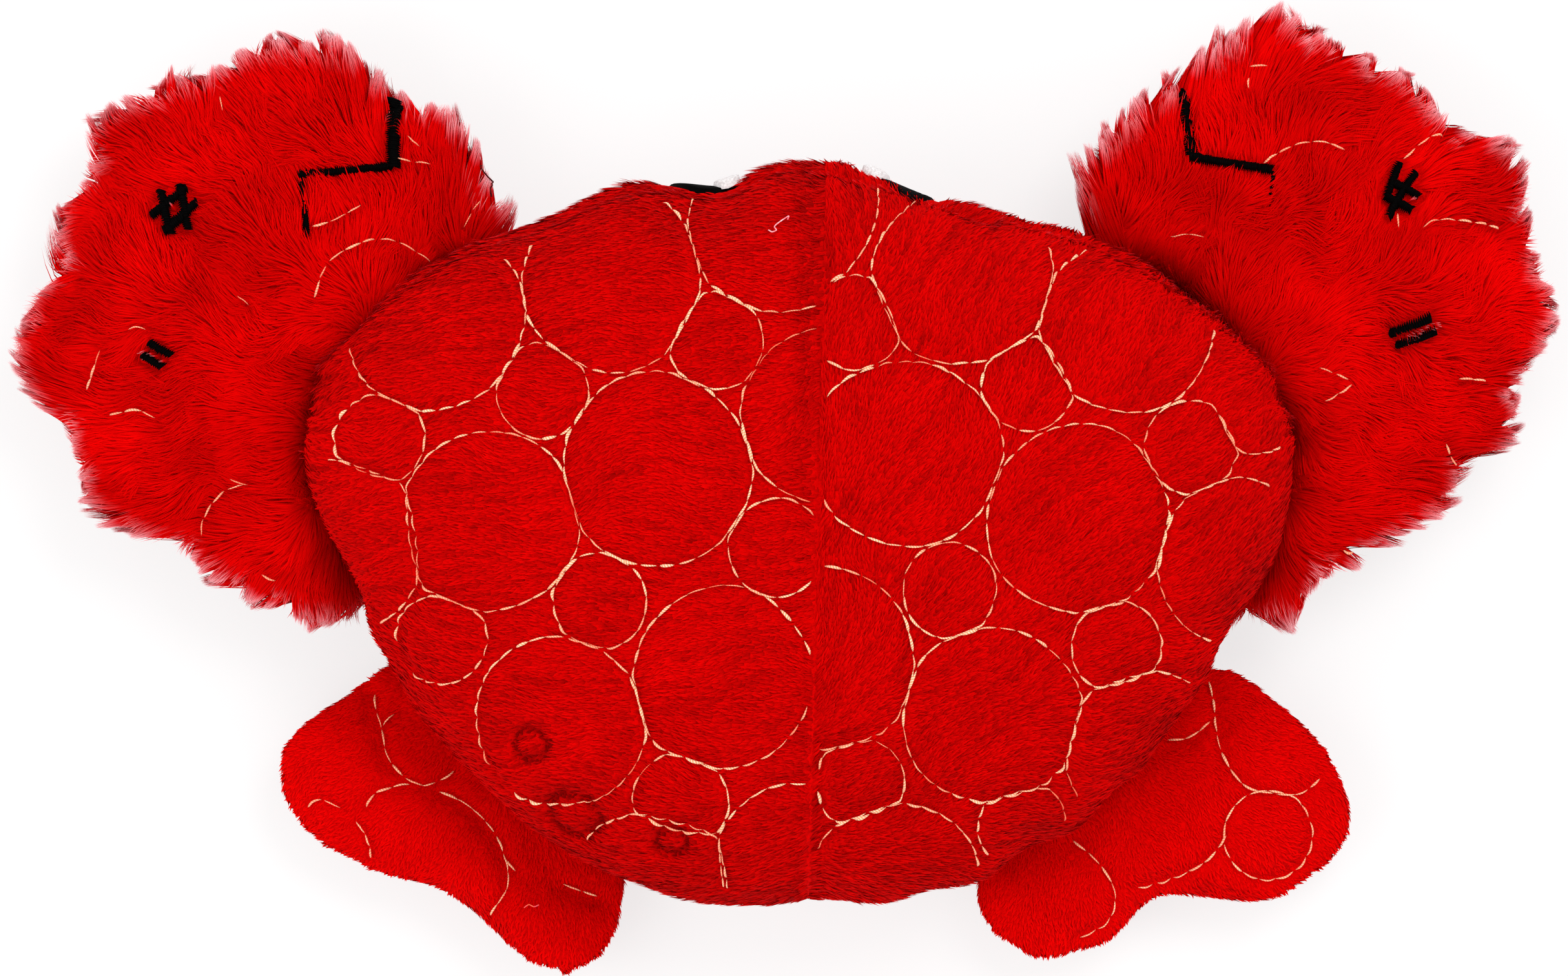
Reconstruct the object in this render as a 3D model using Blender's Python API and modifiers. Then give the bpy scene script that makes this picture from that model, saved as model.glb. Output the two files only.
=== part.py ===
"""A crab plush dog toy lying on its belly: sewn fabric panels over stuffing, with a squeaker inside.

The body and each limb is a stuffed form: a plan outline that bulges up and down from the plane of
its seam. Metres, +Z up, +Y towards the crab's face, +X to the right of a viewer behind the crab.
"""

import math

import bmesh
import bpy
import numpy as np
from mathutils import Vector

# Cloth and clearances
CLOTH = 0.002
SEAM_GAP = 0.0005
CLEARANCE = 0.0003
STUFFING_CLEARANCE = 0.0004
LIMB_CLEARANCE = 0.00035

# Body: half of its plan outline, from the middle of its face round its right side to its rear. Its
# lower half would reach past the floor by the press, so it lies flat there.
BODY_OUTLINE = [
    (0.0, 0.058), (0.020, 0.0545), (0.042, 0.0488), (0.062, 0.041), (0.075, 0.0325),
    (0.0855, 0.0195), (0.089, 0.007), (0.0865, -0.006), (0.081, -0.021), (0.071, -0.0375),
    (0.057, -0.055), (0.038, -0.0695), (0.020, -0.075), (0.0, -0.0763),
]
BODY_CENTRE = (0.0, -0.009)
BODY_SEAM_HEIGHT = 0.036
BODY_RISE = 0.038
FLOOR_PRESS = 0.004
BODY_FALL = BODY_SEAM_HEIGHT + FLOOR_PRESS
BODY_FULLNESS = 2.2
BODY_ROUND = 36
BODY_RINGS = 16
CUTTER_FINENESS = 2
BACK_SEAM_X = 0.0033

# The face panel lies between two tilted seams that meet at its corners, all on a unit sphere
FACE_CORNER_SHARE = 0.35
CREST_SLOPE = 0.22
CHIN_SLOPE = 0.95

# Claws: plan outlines, the height of their seam, and their half thickness, thinner at the root
CLAW_OUTLINES = {
    "left": [
        (-0.053, 0.048), (-0.057, 0.056), (-0.062, 0.064), (-0.071, 0.0675), (-0.079, 0.075),
        (-0.092, 0.0785), (-0.112, 0.072), (-0.125, 0.064), (-0.131, 0.050), (-0.137, 0.032),
        (-0.137, 0.017), (-0.129, 0.004), (-0.122, -0.006), (-0.107, -0.014), (-0.092, -0.0215),
        (-0.081, -0.0235), (-0.070, -0.013), (-0.058, 0.014), (-0.050, 0.038),
    ],
    "right": [
        (0.0515, 0.046), (0.0515, 0.056), (0.061, 0.067), (0.073, 0.077), (0.086, 0.0825),
        (0.097, 0.078), (0.112, 0.070), (0.125, 0.061), (0.1305, 0.048), (0.1325, 0.034),
        (0.1285, 0.016), (0.118, 0.0), (0.106, -0.008), (0.093, -0.015), (0.086, -0.023),
        (0.077, -0.0225), (0.067, -0.005), (0.057, 0.020), (0.050, 0.037),
    ],
}
CLAW_CENTRES = {"left": (-0.099, 0.025), "right": (0.096, 0.029)}
CLAW_SEAM_HEIGHT = 0.022
CLAW_HALF = 0.0215
CLAW_ROOT_HALF = 0.012
CLAW_SWELL = 0.030

# Rear legs: those of one side are one flat piece with two lobes
LEG_OUTLINES = {
    "left": [
        (-0.071, -0.029), (-0.080, -0.037), (-0.091, -0.045), (-0.0935, -0.053),
        (-0.0885, -0.0615), (-0.077, -0.0685), (-0.0645, -0.0725), (-0.0565, -0.0795),
        (-0.047, -0.086), (-0.038, -0.0855), (-0.033, -0.075), (-0.036, -0.062),
        (-0.049, -0.047), (-0.061, -0.035),
    ],
    "right": [
        (0.072, -0.029), (0.082, -0.036), (0.094, -0.048), (0.098, -0.0585), (0.093, -0.069),
        (0.083, -0.075), (0.074, -0.0737), (0.065, -0.073), (0.0585, -0.080), (0.0475, -0.084),
        (0.037, -0.0815), (0.032, -0.0735), (0.035, -0.061), (0.048, -0.047), (0.061, -0.035),
    ],
}
LEG_CENTRES = {"left": (-0.062, -0.056), "right": (0.063, -0.057)}
LEG_SEAM_HEIGHT = 0.0125
LEG_HALF = 0.012
LEG_ROOT_HALF = 0.009
LEG_SWELL = 0.015

LIMB_FLOOR = 0.0005
LIMB_FULLNESS = 2.6
LIMB_ROUND = 36
LIMB_RINGS = 8

# Quilting: circles of thread on the panels, each with its plan centre and its radius
BACK_CIRCLES = {
    "left": [
        (-0.0552, -0.006, 0.016), (-0.065, 0.0295, 0.0165), (-0.0745, 0.0085, 0.0085),
        (-0.0457, 0.017, 0.0085), (-0.0255, 0.0032, 0.0168), (-0.0335, 0.0365, 0.016),
        (-0.015, 0.0257, 0.0085), (-0.004, 0.047, 0.0165), (0.0055, 0.0125, 0.0163),
        (-0.0045, -0.0105, 0.0087), (-0.0425, -0.0412, 0.0155), (-0.014, -0.0335, 0.016),
        (-0.0355, -0.020, 0.0085), (-0.0635, -0.0267, 0.0085), (-0.0213, -0.055, 0.0083),
        (-0.001, -0.0643, 0.0145), (-0.0265, -0.0673, 0.0143),
    ],
    "right": [
        (0.0487, -0.0055, 0.0165), (0.0185, 0.006, 0.0165), (0.040, 0.0182, 0.0085),
        (0.0575, 0.0285, 0.0155), (0.0285, 0.0375, 0.016), (-0.001, 0.0495, 0.0165),
        (0.0688, 0.0072, 0.0085), (0.077, -0.013, 0.015), (0.0335, -0.040, 0.0156),
        (0.0555, -0.028, 0.0085), (0.0103, -0.052, 0.0078), (0.0165, -0.0675, 0.0148),
        (0.004, -0.030, 0.016), (0.026, -0.018, 0.0086), (0.0095, 0.029, 0.0085),
        (0.0605, -0.0445, 0.014),
    ],
}
LEG_CIRCLES = {
    "left": [(-0.064, -0.041, 0.0135), (-0.067, -0.066, 0.0115), (-0.084, -0.057, 0.008)],
    "right": [
        (0.084, -0.063, 0.008), (0.085, -0.044, 0.0115), (0.063, -0.057, 0.014),
        (0.044, -0.074, 0.0115),
    ],
}
THREAD_RADIUS = 0.0006
THREAD_SAG = 0.0002
BACK_THREAD_STEP = 0.0064
LEG_THREAD_STEP = 0.0034
LEAST_CIRCLE_POINTS = 12
LEAST_RUN_POINTS = 3
KNOT_RADIUS = 0.0012
KNOT_LENGTH = 0.005
KNOT_REACH = 0.0020
RIM_SHARE = 0.97
LEG_RIM_SHARE = 0.88
ROOF_MARGIN = 0.0036
SEAM_MARGIN = 0.001

# Embroidery on each claw: lines of satin stitch, placed on the plan
SATIN_RADIUS = 0.0013
SATIN_STEP = 0.0045
ZIGZAGS = {
    "left": [(-0.0742, 0.0675), (-0.0738, 0.058), (-0.090, 0.057), (-0.0887, 0.0455)],
    "right": [(0.0685, 0.0695), (0.070, 0.059), (0.085, 0.057), (0.0845, 0.052)],
}
CROSS_CENTRES = {"left": (-0.112, 0.0495), "right": (0.107, 0.053)}
CROSS_TURNS = {"left": math.radians(-30), "right": math.radians(25)}
CROSS_LENGTH = 0.009
CROSS_SPACING = 0.0042
BAR_CENTRES = {"left": (-0.115, 0.0238), "right": (0.1095, 0.0285)}
BAR_TURNS = {"left": math.radians(-32), "right": math.radians(24)}
BAR_LENGTH = 0.0065
BAR_SPACING = 0.0036

# Eyes: an oval patch on each side of the face and a white glint on it
EYE_SPREAD = 0.0175
EYE_WIDTH = 0.014
EYE_TOP = 0.0405
EYE_BOTTOM = 0.0165
PATCH_THICKNESS = 0.0008
GLINT_WIDTH = 0.005
GLINT_HEIGHT = 0.007
GLINT_SHIFT = 0.003
GLINT_DROP = 0.006
PATCH_ROUND = 20

# Squeaker: a hollow bulb with a reed valve in its neck, in a pocket of the stuffing
BULB_RADIUS = 0.018
BULB_HEIGHT = 0.020
BULB_WALL = 0.0015
BULB_FLAT = 0.012
NECK_RADIUS = 0.005
NECK_BORE = 0.0038
NECK_HEIGHT = 0.004
VALVE_BORE = 0.0012
VALVE_DEPTH = 0.006
VALVE_FLANGE = 0.0012
POCKET_CLEARANCE = 0.0004
TURNED_STEPS = 16

# Colours are linear red, green and blue
FINISHES = {
    "minky": ((0.60, 0.004, 0.006), 0.85),
    "fur": ((0.66, 0.004, 0.008), 0.80),
    "thread": ((0.86, 0.58, 0.25), 0.55),
    "satin": ((0.006, 0.005, 0.006), 0.60),
    "glint": ((0.85, 0.84, 0.82), 0.55),
    "stuffing": ((0.80, 0.80, 0.78), 0.95),
    "bulb": ((0.78, 0.79, 0.80), 0.40),
    "valve": ((0.85, 0.84, 0.82), 0.45),
}

SIDES = {"left": -1, "right": 1}
GRADIENT_STEP = 0.0001
CIRCLE_SAMPLES = 72
WALK_STEPS = 12
CURVE_POINTS = 12
HALVINGS = 40
MERGE_SHARE = 0.01
TURNED_MERGE = 0.00001


def clear_scene():
    for obj in list(bpy.data.objects):
        bpy.data.objects.remove(obj, do_unlink=True)


def new_collection(name):
    collection = bpy.data.collections.new(name)
    bpy.context.scene.collection.children.link(collection)
    return collection


def make_material(name, colour, roughness):
    material = bpy.data.materials.new(name)
    material.use_nodes = True
    shader = material.node_tree.nodes["Principled BSDF"]
    shader.inputs["Base Color"].default_value = (*colour, 1.0)
    shader.inputs["Roughness"].default_value = roughness
    shader.inputs["Metallic"].default_value = 0.0
    return material


def smoothstep(share):
    share = min(max(share, 0.0), 1.0)
    return share * share * (3 - 2 * share)


def smooth_loop(points):
    """A closed smooth curve through the points."""
    curve = []
    count = len(points)
    for i in range(count):
        before, start, end, after = (Vector(points[(i + k) % count]) for k in (-1, 0, 1, 2))
        for k in range(CURVE_POINTS):
            t = k / CURVE_POINTS
            bend = 2 * before - 5 * start + 4 * end - after
            twist = 3 * start - before - 3 * end + after
            curve.append(start + 0.5 * (t * (end - before) + t**2 * bend + t**3 * twist))
    return curve


class Form:
    """A stuffed form: how far it reaches from its centre at each angle, and how high it bulges."""

    def __init__(self, outline, centre, seam, rise, fall, fullness, floor):
        self.centre = centre
        self.seam = seam
        self.rise = rise
        self.fall = fall
        self.fullness = fullness
        self.floor = floor
        self.carrier = None
        spokes = [point - Vector(centre) for point in smooth_loop(outline)]
        table = sorted((math.atan2(spoke.y, spoke.x), spoke.length) for spoke in spokes)
        self.angles, self.reaches = (np.array(column) for column in zip(*table))

    def sew_to(self, carrier, root_half, swell):
        """Makes the form thinner where it nears the outline of the form that carries it."""
        self.carrier = carrier
        self.root_share = root_half / self.rise
        self.swell = swell

    def reach(self, angle):
        return float(np.interp(angle, self.angles, self.reaches, period=2 * math.pi))

    def spoke(self, x, y):
        """The distance and angle of a plan point from the centre."""
        along, across = x - self.centre[0], y - self.centre[1]
        return math.hypot(along, across), math.atan2(across, along)

    def share(self, x, y):
        """0 at the centre and 1 at the outline."""
        distance, angle = self.spoke(x, y)
        return distance / self.reach(angle)

    def thickness(self, x, y):
        if self.carrier is None:
            return 1.0
        distance, angle = self.carrier.spoke(x, y)
        beyond = distance - self.carrier.reach(angle)
        return self.root_share + (1 - self.root_share) * smoothstep(beyond / self.swell)

    def height(self, x, y, share, upper):
        bulge = math.sqrt(max(0.0, 1 - share**self.fullness)) * self.thickness(x, y)
        if upper:
            return self.seam + self.rise * bulge
        return max(self.floor, self.seam - self.fall * bulge)

    def top(self, x, y):
        return self.height(x, y, self.share(x, y), True)

    def bottom(self, x, y):
        return self.height(x, y, self.share(x, y), False)

    def on_surface(self, unit):
        """Where a point of the unit sphere comes to lie on the form."""
        share = min(1.0, math.hypot(unit.x, unit.y))
        angle = math.atan2(unit.y, unit.x)
        distance = share * self.reach(angle)
        x = self.centre[0] + distance * math.cos(angle)
        y = self.centre[1] + distance * math.sin(angle)
        return Vector((x, y, self.height(x, y, share, unit.z > 0)))

    def lifted(self, x, y, lift):
        """A point above the upper surface, along its normal."""
        step = GRADIENT_STEP
        slope_x = (self.top(x + step, y) - self.top(x - step, y)) / (2 * step)
        slope_y = (self.top(x, y + step) - self.top(x, y - step)) / (2 * step)
        normal = Vector((-slope_x, -slope_y, 1)).normalized()
        return Vector((x, y, self.top(x, y))) + lift * normal

    def walk(self, x, y, angle, distance):
        """The plan point at that distance over the upper surface, along a straight heading."""
        stride = distance / WALK_STEPS
        for _ in range(WALK_STEPS):
            ahead_x = x + GRADIENT_STEP * math.cos(angle)
            ahead_y = y + GRADIENT_STEP * math.sin(angle)
            climb = (self.top(ahead_x, ahead_y) - self.top(x, y)) / GRADIENT_STEP
            plan_stride = stride / math.sqrt(1 + climb**2)
            x += plan_stride * math.cos(angle)
            y += plan_stride * math.sin(angle)
        return x, y


def body_form():
    mirrored = [(-x, y) for x, y in BODY_OUTLINE[-2:0:-1]]
    return Form(
        BODY_OUTLINE + mirrored, BODY_CENTRE, BODY_SEAM_HEIGHT, BODY_RISE, BODY_FALL, BODY_FULLNESS, 0.0
    )


def limb_form(outline, centre, seam, half, root_half, swell, body):
    form = Form(outline, centre, seam, half, half, LIMB_FULLNESS, LIMB_FLOOR)
    form.sew_to(body, root_half, swell)
    return form


def add_object(name, mesh, material, collection, parent):
    obj = bpy.data.objects.new(name, mesh)
    collection.objects.link(obj)
    mesh.materials.clear()
    mesh.materials.append(material)
    obj.parent = parent
    mesh.shade_smooth()
    return obj


def unit_sphere(rounds, rings):
    sphere = bmesh.new()
    bmesh.ops.create_uvsphere(sphere, u_segments=rounds, v_segments=rings, radius=1.0)
    return sphere


def map_to_form(sphere, form):
    for vertex in sphere.verts:
        vertex.co = form.on_surface(vertex.co)
    bmesh.ops.recalc_face_normals(sphere, faces=sphere.faces[:])
    sphere.normal_update()
    return sphere


def cloth_panel(form, rounds, rings, cuts):
    """The cloth of the form's skin that lies behind each cut, which is a point and a normal.

    It is thickened inwards along the normals of the whole skin, so panels meet squarely at a seam.
    """
    panel = unit_sphere(rounds, rings)
    for point, normal in cuts:
        everything = panel.verts[:] + panel.edges[:] + panel.faces[:]
        bmesh.ops.bisect_plane(panel, geom=everything, plane_co=point, plane_no=normal)
    beyond = [
        face for face in panel.faces
        if any((face.calc_center_median() - point).dot(normal) > 0 for point, normal in cuts)
    ]
    map_to_form(panel, form)
    inward = panel.verts.layers.float_vector.new("inward")
    for vertex in panel.verts:
        vertex[inward] = -vertex.normal
    bmesh.ops.delete(panel, geom=beyond, context="FACES")
    extruded = bmesh.ops.extrude_face_region(panel, geom=panel.faces[:], use_keep_orig=True)
    for element in extruded["geom"]:
        if isinstance(element, bmesh.types.BMVert):
            element.co += CLOTH * element[inward]
    bmesh.ops.recalc_face_normals(panel, faces=panel.faces[:])
    return panel


def shifted(skin, distance):
    """Moves a closed skin along its normals."""
    skin.normal_update()
    moves = [(vertex, vertex.co + distance * vertex.normal) for vertex in skin.verts]
    for vertex, place in moves:
        vertex.co = place
    return skin


def to_mesh(name, skin):
    mesh = bpy.data.meshes.new(name)
    skin.to_mesh(mesh)
    skin.free()
    return mesh


def cut_away(obj, cutter):
    cut = obj.modifiers.new("cut by " + cutter.name, "BOOLEAN")
    cut.operation = "DIFFERENCE"
    cut.solver = "EXACT"
    cut.object = cutter


def as_helper(obj):
    obj.hide_render = True
    obj.display_type = "WIRE"
    return obj


def add_strand(name, lines, radius, material, collection, parent):
    """One mesh of round strands along lines of points. A line is closed where it is marked so."""
    curve = bpy.data.curves.new(name, "CURVE")
    curve.dimensions = "3D"
    curve.bevel_depth = radius
    curve.bevel_resolution = 0
    curve.use_fill_caps = True
    for points, closed in lines:
        spline = curve.splines.new("POLY")
        spline.points.add(len(points) - 1)
        for knot, point in zip(spline.points, points):
            knot.co = (*point, 1.0)
        spline.use_cyclic_u = closed
    guide = bpy.data.objects.new(name, curve)
    bpy.context.scene.collection.objects.link(guide)
    graph = bpy.context.evaluated_depsgraph_get()
    mesh = bpy.data.meshes.new_from_object(guide.evaluated_get(graph))
    bpy.data.objects.remove(guide, do_unlink=True)
    bpy.data.curves.remove(curve)
    strand = bmesh.new()
    strand.from_mesh(mesh)
    bmesh.ops.remove_doubles(strand, verts=strand.verts[:], dist=MERGE_SHARE * radius)
    bmesh.ops.recalc_face_normals(strand, faces=strand.faces[:])
    strand.to_mesh(mesh)
    strand.free()
    return add_object(name, mesh, material, collection, parent)


def join_strands(first, others):
    for other in others:
        joined = first.modifiers.new("with " + other.name, "BOOLEAN")
        joined.operation = "UNION"
        joined.solver = "EXACT"
        joined.object = as_helper(other)


def thread_lift():
    return CLEARANCE + THREAD_RADIUS + THREAD_SAG


def circle_run(form, circle, keep):
    """The longest stretch of a stitched circle that lies on the panel, and whether it is closed."""
    x, y, radius = circle
    turns = [2 * math.pi * i / CIRCLE_SAMPLES for i in range(CIRCLE_SAMPLES)]
    points = [form.walk(x, y, turn, radius) for turn in turns]
    kept = [keep(*point) for point in points]
    if all(kept):
        return points, True
    longest = []
    run = []
    for i in range(2 * CIRCLE_SAMPLES):
        index = i % CIRCLE_SAMPLES
        run = run + [points[index]] if kept[index] else []
        longest = max(longest, run, key=len)
    return longest, False


def thinned(points, closed, step):
    """Points about a step apart, with both ends kept."""
    length = sum(math.dist(a, b) for a, b in zip(points, points[1:]))
    least = LEAST_CIRCLE_POINTS if closed else LEAST_RUN_POINTS
    count = max(least, round(length / step) + 1)
    last = len(points) if closed else len(points) - 1
    spaces = count if closed else count - 1
    return [points[round(i * last / spaces)] for i in range(count)]


def back_area(body, sign):
    """Tells whether a plan point lies on one back panel, clear of the middle seam and of the rim."""
    return lambda x, y: sign * (x - BACK_SEAM_X) > SEAM_MARGIN and body.share(x, y) < RIM_SHARE


def room_below(body, x, y):
    """The height of the body's underside there, or no limit beside the body."""
    return body.bottom(x, y) if body.share(x, y) < 1 else math.inf


def leg_area(legs, body):
    """Tells whether a plan point lies on top of the legs with room for thread below the body."""
    return lambda x, y: (
        legs.share(x, y) < LEG_RIM_SHARE
        and room_below(body, x, y) - legs.top(x, y) > ROOF_MARGIN
    )


def knots_between(first, second):
    """The place and heading where two circles touch, if they come near each other."""
    gap, a, b = min((math.dist(a, b), a, b) for a in first for b in second)
    if gap > KNOT_REACH:
        return None
    near = sorted(first, key=lambda point: math.dist(point, a))[:3]
    heading = Vector(near[2]) - Vector(near[1])
    return (Vector(a) + Vector(b)) / 2, heading.normalized()


def add_quilting(name, form, circles, keep, step, material, parts, helpers, parent):
    """The thread of one panel: its stitched circles, doubled where two of them touch."""
    runs = [circle_run(form, circle, keep) for circle in circles]
    strands = []
    for number, (points, closed) in enumerate(runs):
        line = [form.lifted(x, y, thread_lift()) for x, y in thinned(points, closed, step)]
        collection = helpers if number else parts
        label = name if number == 0 else f"{name}_circle_{number}"
        strands.append(add_strand(label, [(line, closed)], THREAD_RADIUS, material, collection, parent))
    for i, (first, _) in enumerate(runs):
        for j in range(i + 1, len(runs)):
            knot = knots_between(first, runs[j][0])
            if knot is None:
                continue
            middle, heading = knot
            ends = [middle + KNOT_LENGTH / 2 * side * heading for side in (-1, 0, 1)]
            line = [form.lifted(*end, thread_lift() + KNOT_RADIUS - THREAD_RADIUS) for end in ends]
            label = f"{name}_knot_{i}_{j}"
            strands.append(add_strand(label, [(line, False)], KNOT_RADIUS, material, helpers, parent))
    join_strands(strands[0], strands[1:])


def stitch_line(form, start, end):
    """Points along a straight line of satin stitch over the form."""
    count = max(2, round(math.dist(start, end) / SATIN_STEP) + 1)
    lift = SATIN_RADIUS + CLEARANCE + THREAD_SAG
    spots = [Vector(start).lerp(Vector(end), i / (count - 1)) for i in range(count)]
    return [form.lifted(spot.x, spot.y, lift) for spot in spots]


def bar_ends(centre, turn, length, offset):
    """The ends of a short bar that lies beside a centre."""
    along = Vector((math.cos(turn), math.sin(turn)))
    beside = Vector(centre) + offset * Vector((-along.y, along.x))
    return beside - length / 2 * along, beside + length / 2 * along


def add_embroidery(side, form, material, parts, helpers, parent):
    zigzag = []
    corners = ZIGZAGS[side]
    for start, end in zip(corners, corners[1:]):
        zigzag.extend(stitch_line(form, start, end)[1 if zigzag else 0:])
    add_strand(f"claw_{side}_zigzag", [(zigzag, False)], SATIN_RADIUS, material, parts, parent)
    strokes = []
    for turn in (CROSS_TURNS[side], CROSS_TURNS[side] + math.pi / 2):
        for offset in (-CROSS_SPACING / 2, CROSS_SPACING / 2):
            ends = bar_ends(CROSS_CENTRES[side], turn, CROSS_LENGTH, offset)
            label = f"claw_{side}_cross" + (f"_stroke_{len(strokes)}" if strokes else "")
            home = helpers if strokes else parts
            line = [(stitch_line(form, *ends), False)]
            strokes.append(add_strand(label, line, SATIN_RADIUS, material, home, parent))
    join_strands(strokes[0], strokes[1:])
    for place, offset in (("front", BAR_SPACING / 2), ("rear", -BAR_SPACING / 2)):
        ends = bar_ends(BAR_CENTRES[side], BAR_TURNS[side], BAR_LENGTH, offset)
        line = [(stitch_line(form, *ends), False)]
        add_strand(f"claw_{side}_bar_{place}", line, SATIN_RADIUS, material, parts, parent)


def add_body(body, materials, parts, parent):
    """The four panels of the body's cover."""
    gap_up = SEAM_GAP / 2 / BODY_RISE
    gap_side = SEAM_GAP / 2 / BODY_OUTLINE[0][1]
    seam_x = BACK_SEAM_X / (BODY_OUTLINE[0][1] - BODY_CENTRE[1])
    corner = Vector((0, FACE_CORNER_SHARE, 0))
    crest = Vector((0, -CREST_SLOPE, 1)).normalized()
    chin = Vector((0, -CHIN_SLOPE, -1)).normalized()
    seam = Vector((0, 0, 1))
    panels = {
        "back_panel_left": [
            (Vector((seam_x - gap_side, 0, 0)), Vector((1, 0, 0))),
            (gap_up * seam, -seam),
            (corner + gap_up * crest, -crest),
        ],
        "back_panel_right": [
            (Vector((seam_x + gap_side, 0, 0)), Vector((-1, 0, 0))),
            (gap_up * seam, -seam),
            (corner + gap_up * crest, -crest),
        ],
        "face_panel": [(corner - gap_up * crest, crest), (corner - gap_up * chin, chin)],
        "belly_panel": [(-gap_up * seam, seam), (corner + gap_up * chin, -chin)],
    }
    for name, cuts in panels.items():
        panel = cloth_panel(body, BODY_ROUND, BODY_RINGS, cuts)
        add_object(name, to_mesh(name, panel), materials["minky"], parts, parent)


def add_stuffing(name, form, rounds, rings, material, parts, parent):
    skin = map_to_form(unit_sphere(rounds, rings), form)
    filling = shifted(skin, -(CLOTH + STUFFING_CLEARANCE))
    return add_object(name, to_mesh(name, filling), material, parts, parent)


def add_limb(name, form, clearance, material, materials, parts, parent):
    """The two panels and the stuffing of one limb, cut to the body that they are sewn to."""
    gap = SEAM_GAP / 2 / form.rise
    up = Vector((0, 0, 1))
    for level, place in (("upper", 1), ("lower", -1)):
        label = f"{name}_{level}_panel"
        panel = cloth_panel(form, LIMB_ROUND, LIMB_RINGS, [(place * gap * up, -place * up)])
        cut_away(add_object(label, to_mesh(label, panel), material, parts, parent), clearance)
    stuffing = add_stuffing(
        f"{name}_stuffing", form, LIMB_ROUND, LIMB_RINGS, materials["stuffing"], parts, parent
    )
    cut_away(stuffing, clearance)


def patch_mesh(name, body, centre_x, middle_z, width, height, lift):
    """An oval patch on the front of the body's skin, its middle at that place."""
    patch = bmesh.new()
    bmesh.ops.create_circle(patch, cap_ends=True, cap_tris=True, segments=PATCH_ROUND, radius=0.5)
    bmesh.ops.subdivide_edges(
        patch, edges=[edge for edge in patch.edges if not edge.is_boundary], cuts=1
    )
    bmesh.ops.triangulate(patch, faces=patch.faces[:])
    for vertex in patch.verts:
        x = centre_x + vertex.co.x * width
        z = middle_z + vertex.co.y * height
        vertex.co = front_point(body, x, z)
    bmesh.ops.recalc_face_normals(patch, faces=patch.faces[:])
    if sum(face.normal.y for face in patch.faces) < 0:
        bmesh.ops.reverse_faces(patch, faces=patch.faces[:])
    return to_mesh(name, shifted(patch, lift))


def front_point(body, x, z):
    """The point on the front of the body's skin at that x and height."""
    rise = body.rise if z > body.seam else body.fall
    share = (1 - ((z - body.seam) / rise) ** 2) ** (1 / body.fullness)
    near, far = 0.0, math.pi
    for _ in range(HALVINGS):
        angle = (near + far) / 2
        if body.centre[0] + share * body.reach(angle) * math.cos(angle) > x:
            near = angle
        else:
            far = angle
    y = body.centre[1] + share * body.reach(angle) * math.sin(angle)
    return Vector((x, y, z))


def add_eye(side, body, materials, parts, parent):
    middle_z = (EYE_TOP + EYE_BOTTOM) / 2
    x = SIDES[side] * EYE_SPREAD
    lift = CLEARANCE
    shapes = (
        ("patch", x, middle_z, EYE_WIDTH, EYE_TOP - EYE_BOTTOM, "satin"),
        (
            "glint", x - SIDES[side] * GLINT_SHIFT, EYE_TOP - GLINT_DROP, GLINT_WIDTH, GLINT_HEIGHT,
            "glint",
        ),
    )
    for label, centre_x, centre_z, width, height, finish in shapes:
        name = f"eye_{side}_{label}"
        mesh = patch_mesh(name, body, centre_x, centre_z, width, height, lift)
        obj = add_object(name, mesh, materials[finish], parts, parent)
        thickness = obj.modifiers.new("patch", "SOLIDIFY")
        thickness.thickness = PATCH_THICKNESS
        thickness.offset = 1
        lift += PATCH_THICKNESS + CLEARANCE


def add_turned(name, profile, closed, base, material, parts, parent):
    """A turned piece: a profile of radius and height pairs, spun about the upright axis."""
    outline = bmesh.new()
    points = [outline.verts.new((radius, 0, height)) for radius, height in profile]
    pairs = list(zip(points, points[1:])) + ([(points[-1], points[0])] if closed else [])
    for pair in pairs:
        outline.edges.new(pair)
    obj = add_object(name, to_mesh(name, outline), material, parts, parent)
    obj.location = base
    spin = obj.modifiers.new("turned", "SCREW")
    spin.steps = TURNED_STEPS
    spin.render_steps = TURNED_STEPS
    spin.use_merge_vertices = True
    spin.merge_threshold = TURNED_MERGE
    spin.use_smooth_shade = True
    return obj


def add_squeaker(base, materials, parts, parent):
    wall = BULB_WALL
    shoulder = BULB_RADIUS - BULB_FLAT
    bulb = [
        (0.0, wall), (BULB_FLAT, wall), (BULB_RADIUS - wall, shoulder),
        (BULB_RADIUS - wall, BULB_HEIGHT - shoulder), (BULB_FLAT, BULB_HEIGHT - wall),
        (NECK_BORE, BULB_HEIGHT - wall), (NECK_BORE, BULB_HEIGHT + NECK_HEIGHT),
        (NECK_RADIUS, BULB_HEIGHT + NECK_HEIGHT), (NECK_RADIUS, BULB_HEIGHT),
        (BULB_FLAT, BULB_HEIGHT), (BULB_RADIUS, BULB_HEIGHT - shoulder), (BULB_RADIUS, shoulder),
        (BULB_FLAT, 0.0), (0.0, 0.0),
    ]
    add_turned("squeaker_bulb", bulb, False, base, materials["bulb"], parts, parent)
    flange = BULB_HEIGHT + NECK_HEIGHT + CLEARANCE
    plug = NECK_BORE - CLEARANCE
    valve = [
        (VALVE_BORE, flange - VALVE_DEPTH), (VALVE_BORE, flange + VALVE_FLANGE),
        (NECK_RADIUS, flange + VALVE_FLANGE), (NECK_RADIUS, flange), (plug, flange),
        (plug, flange - VALVE_DEPTH),
    ]
    add_turned("squeaker_valve", valve, True, base, materials["valve"], parts, parent)


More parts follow.
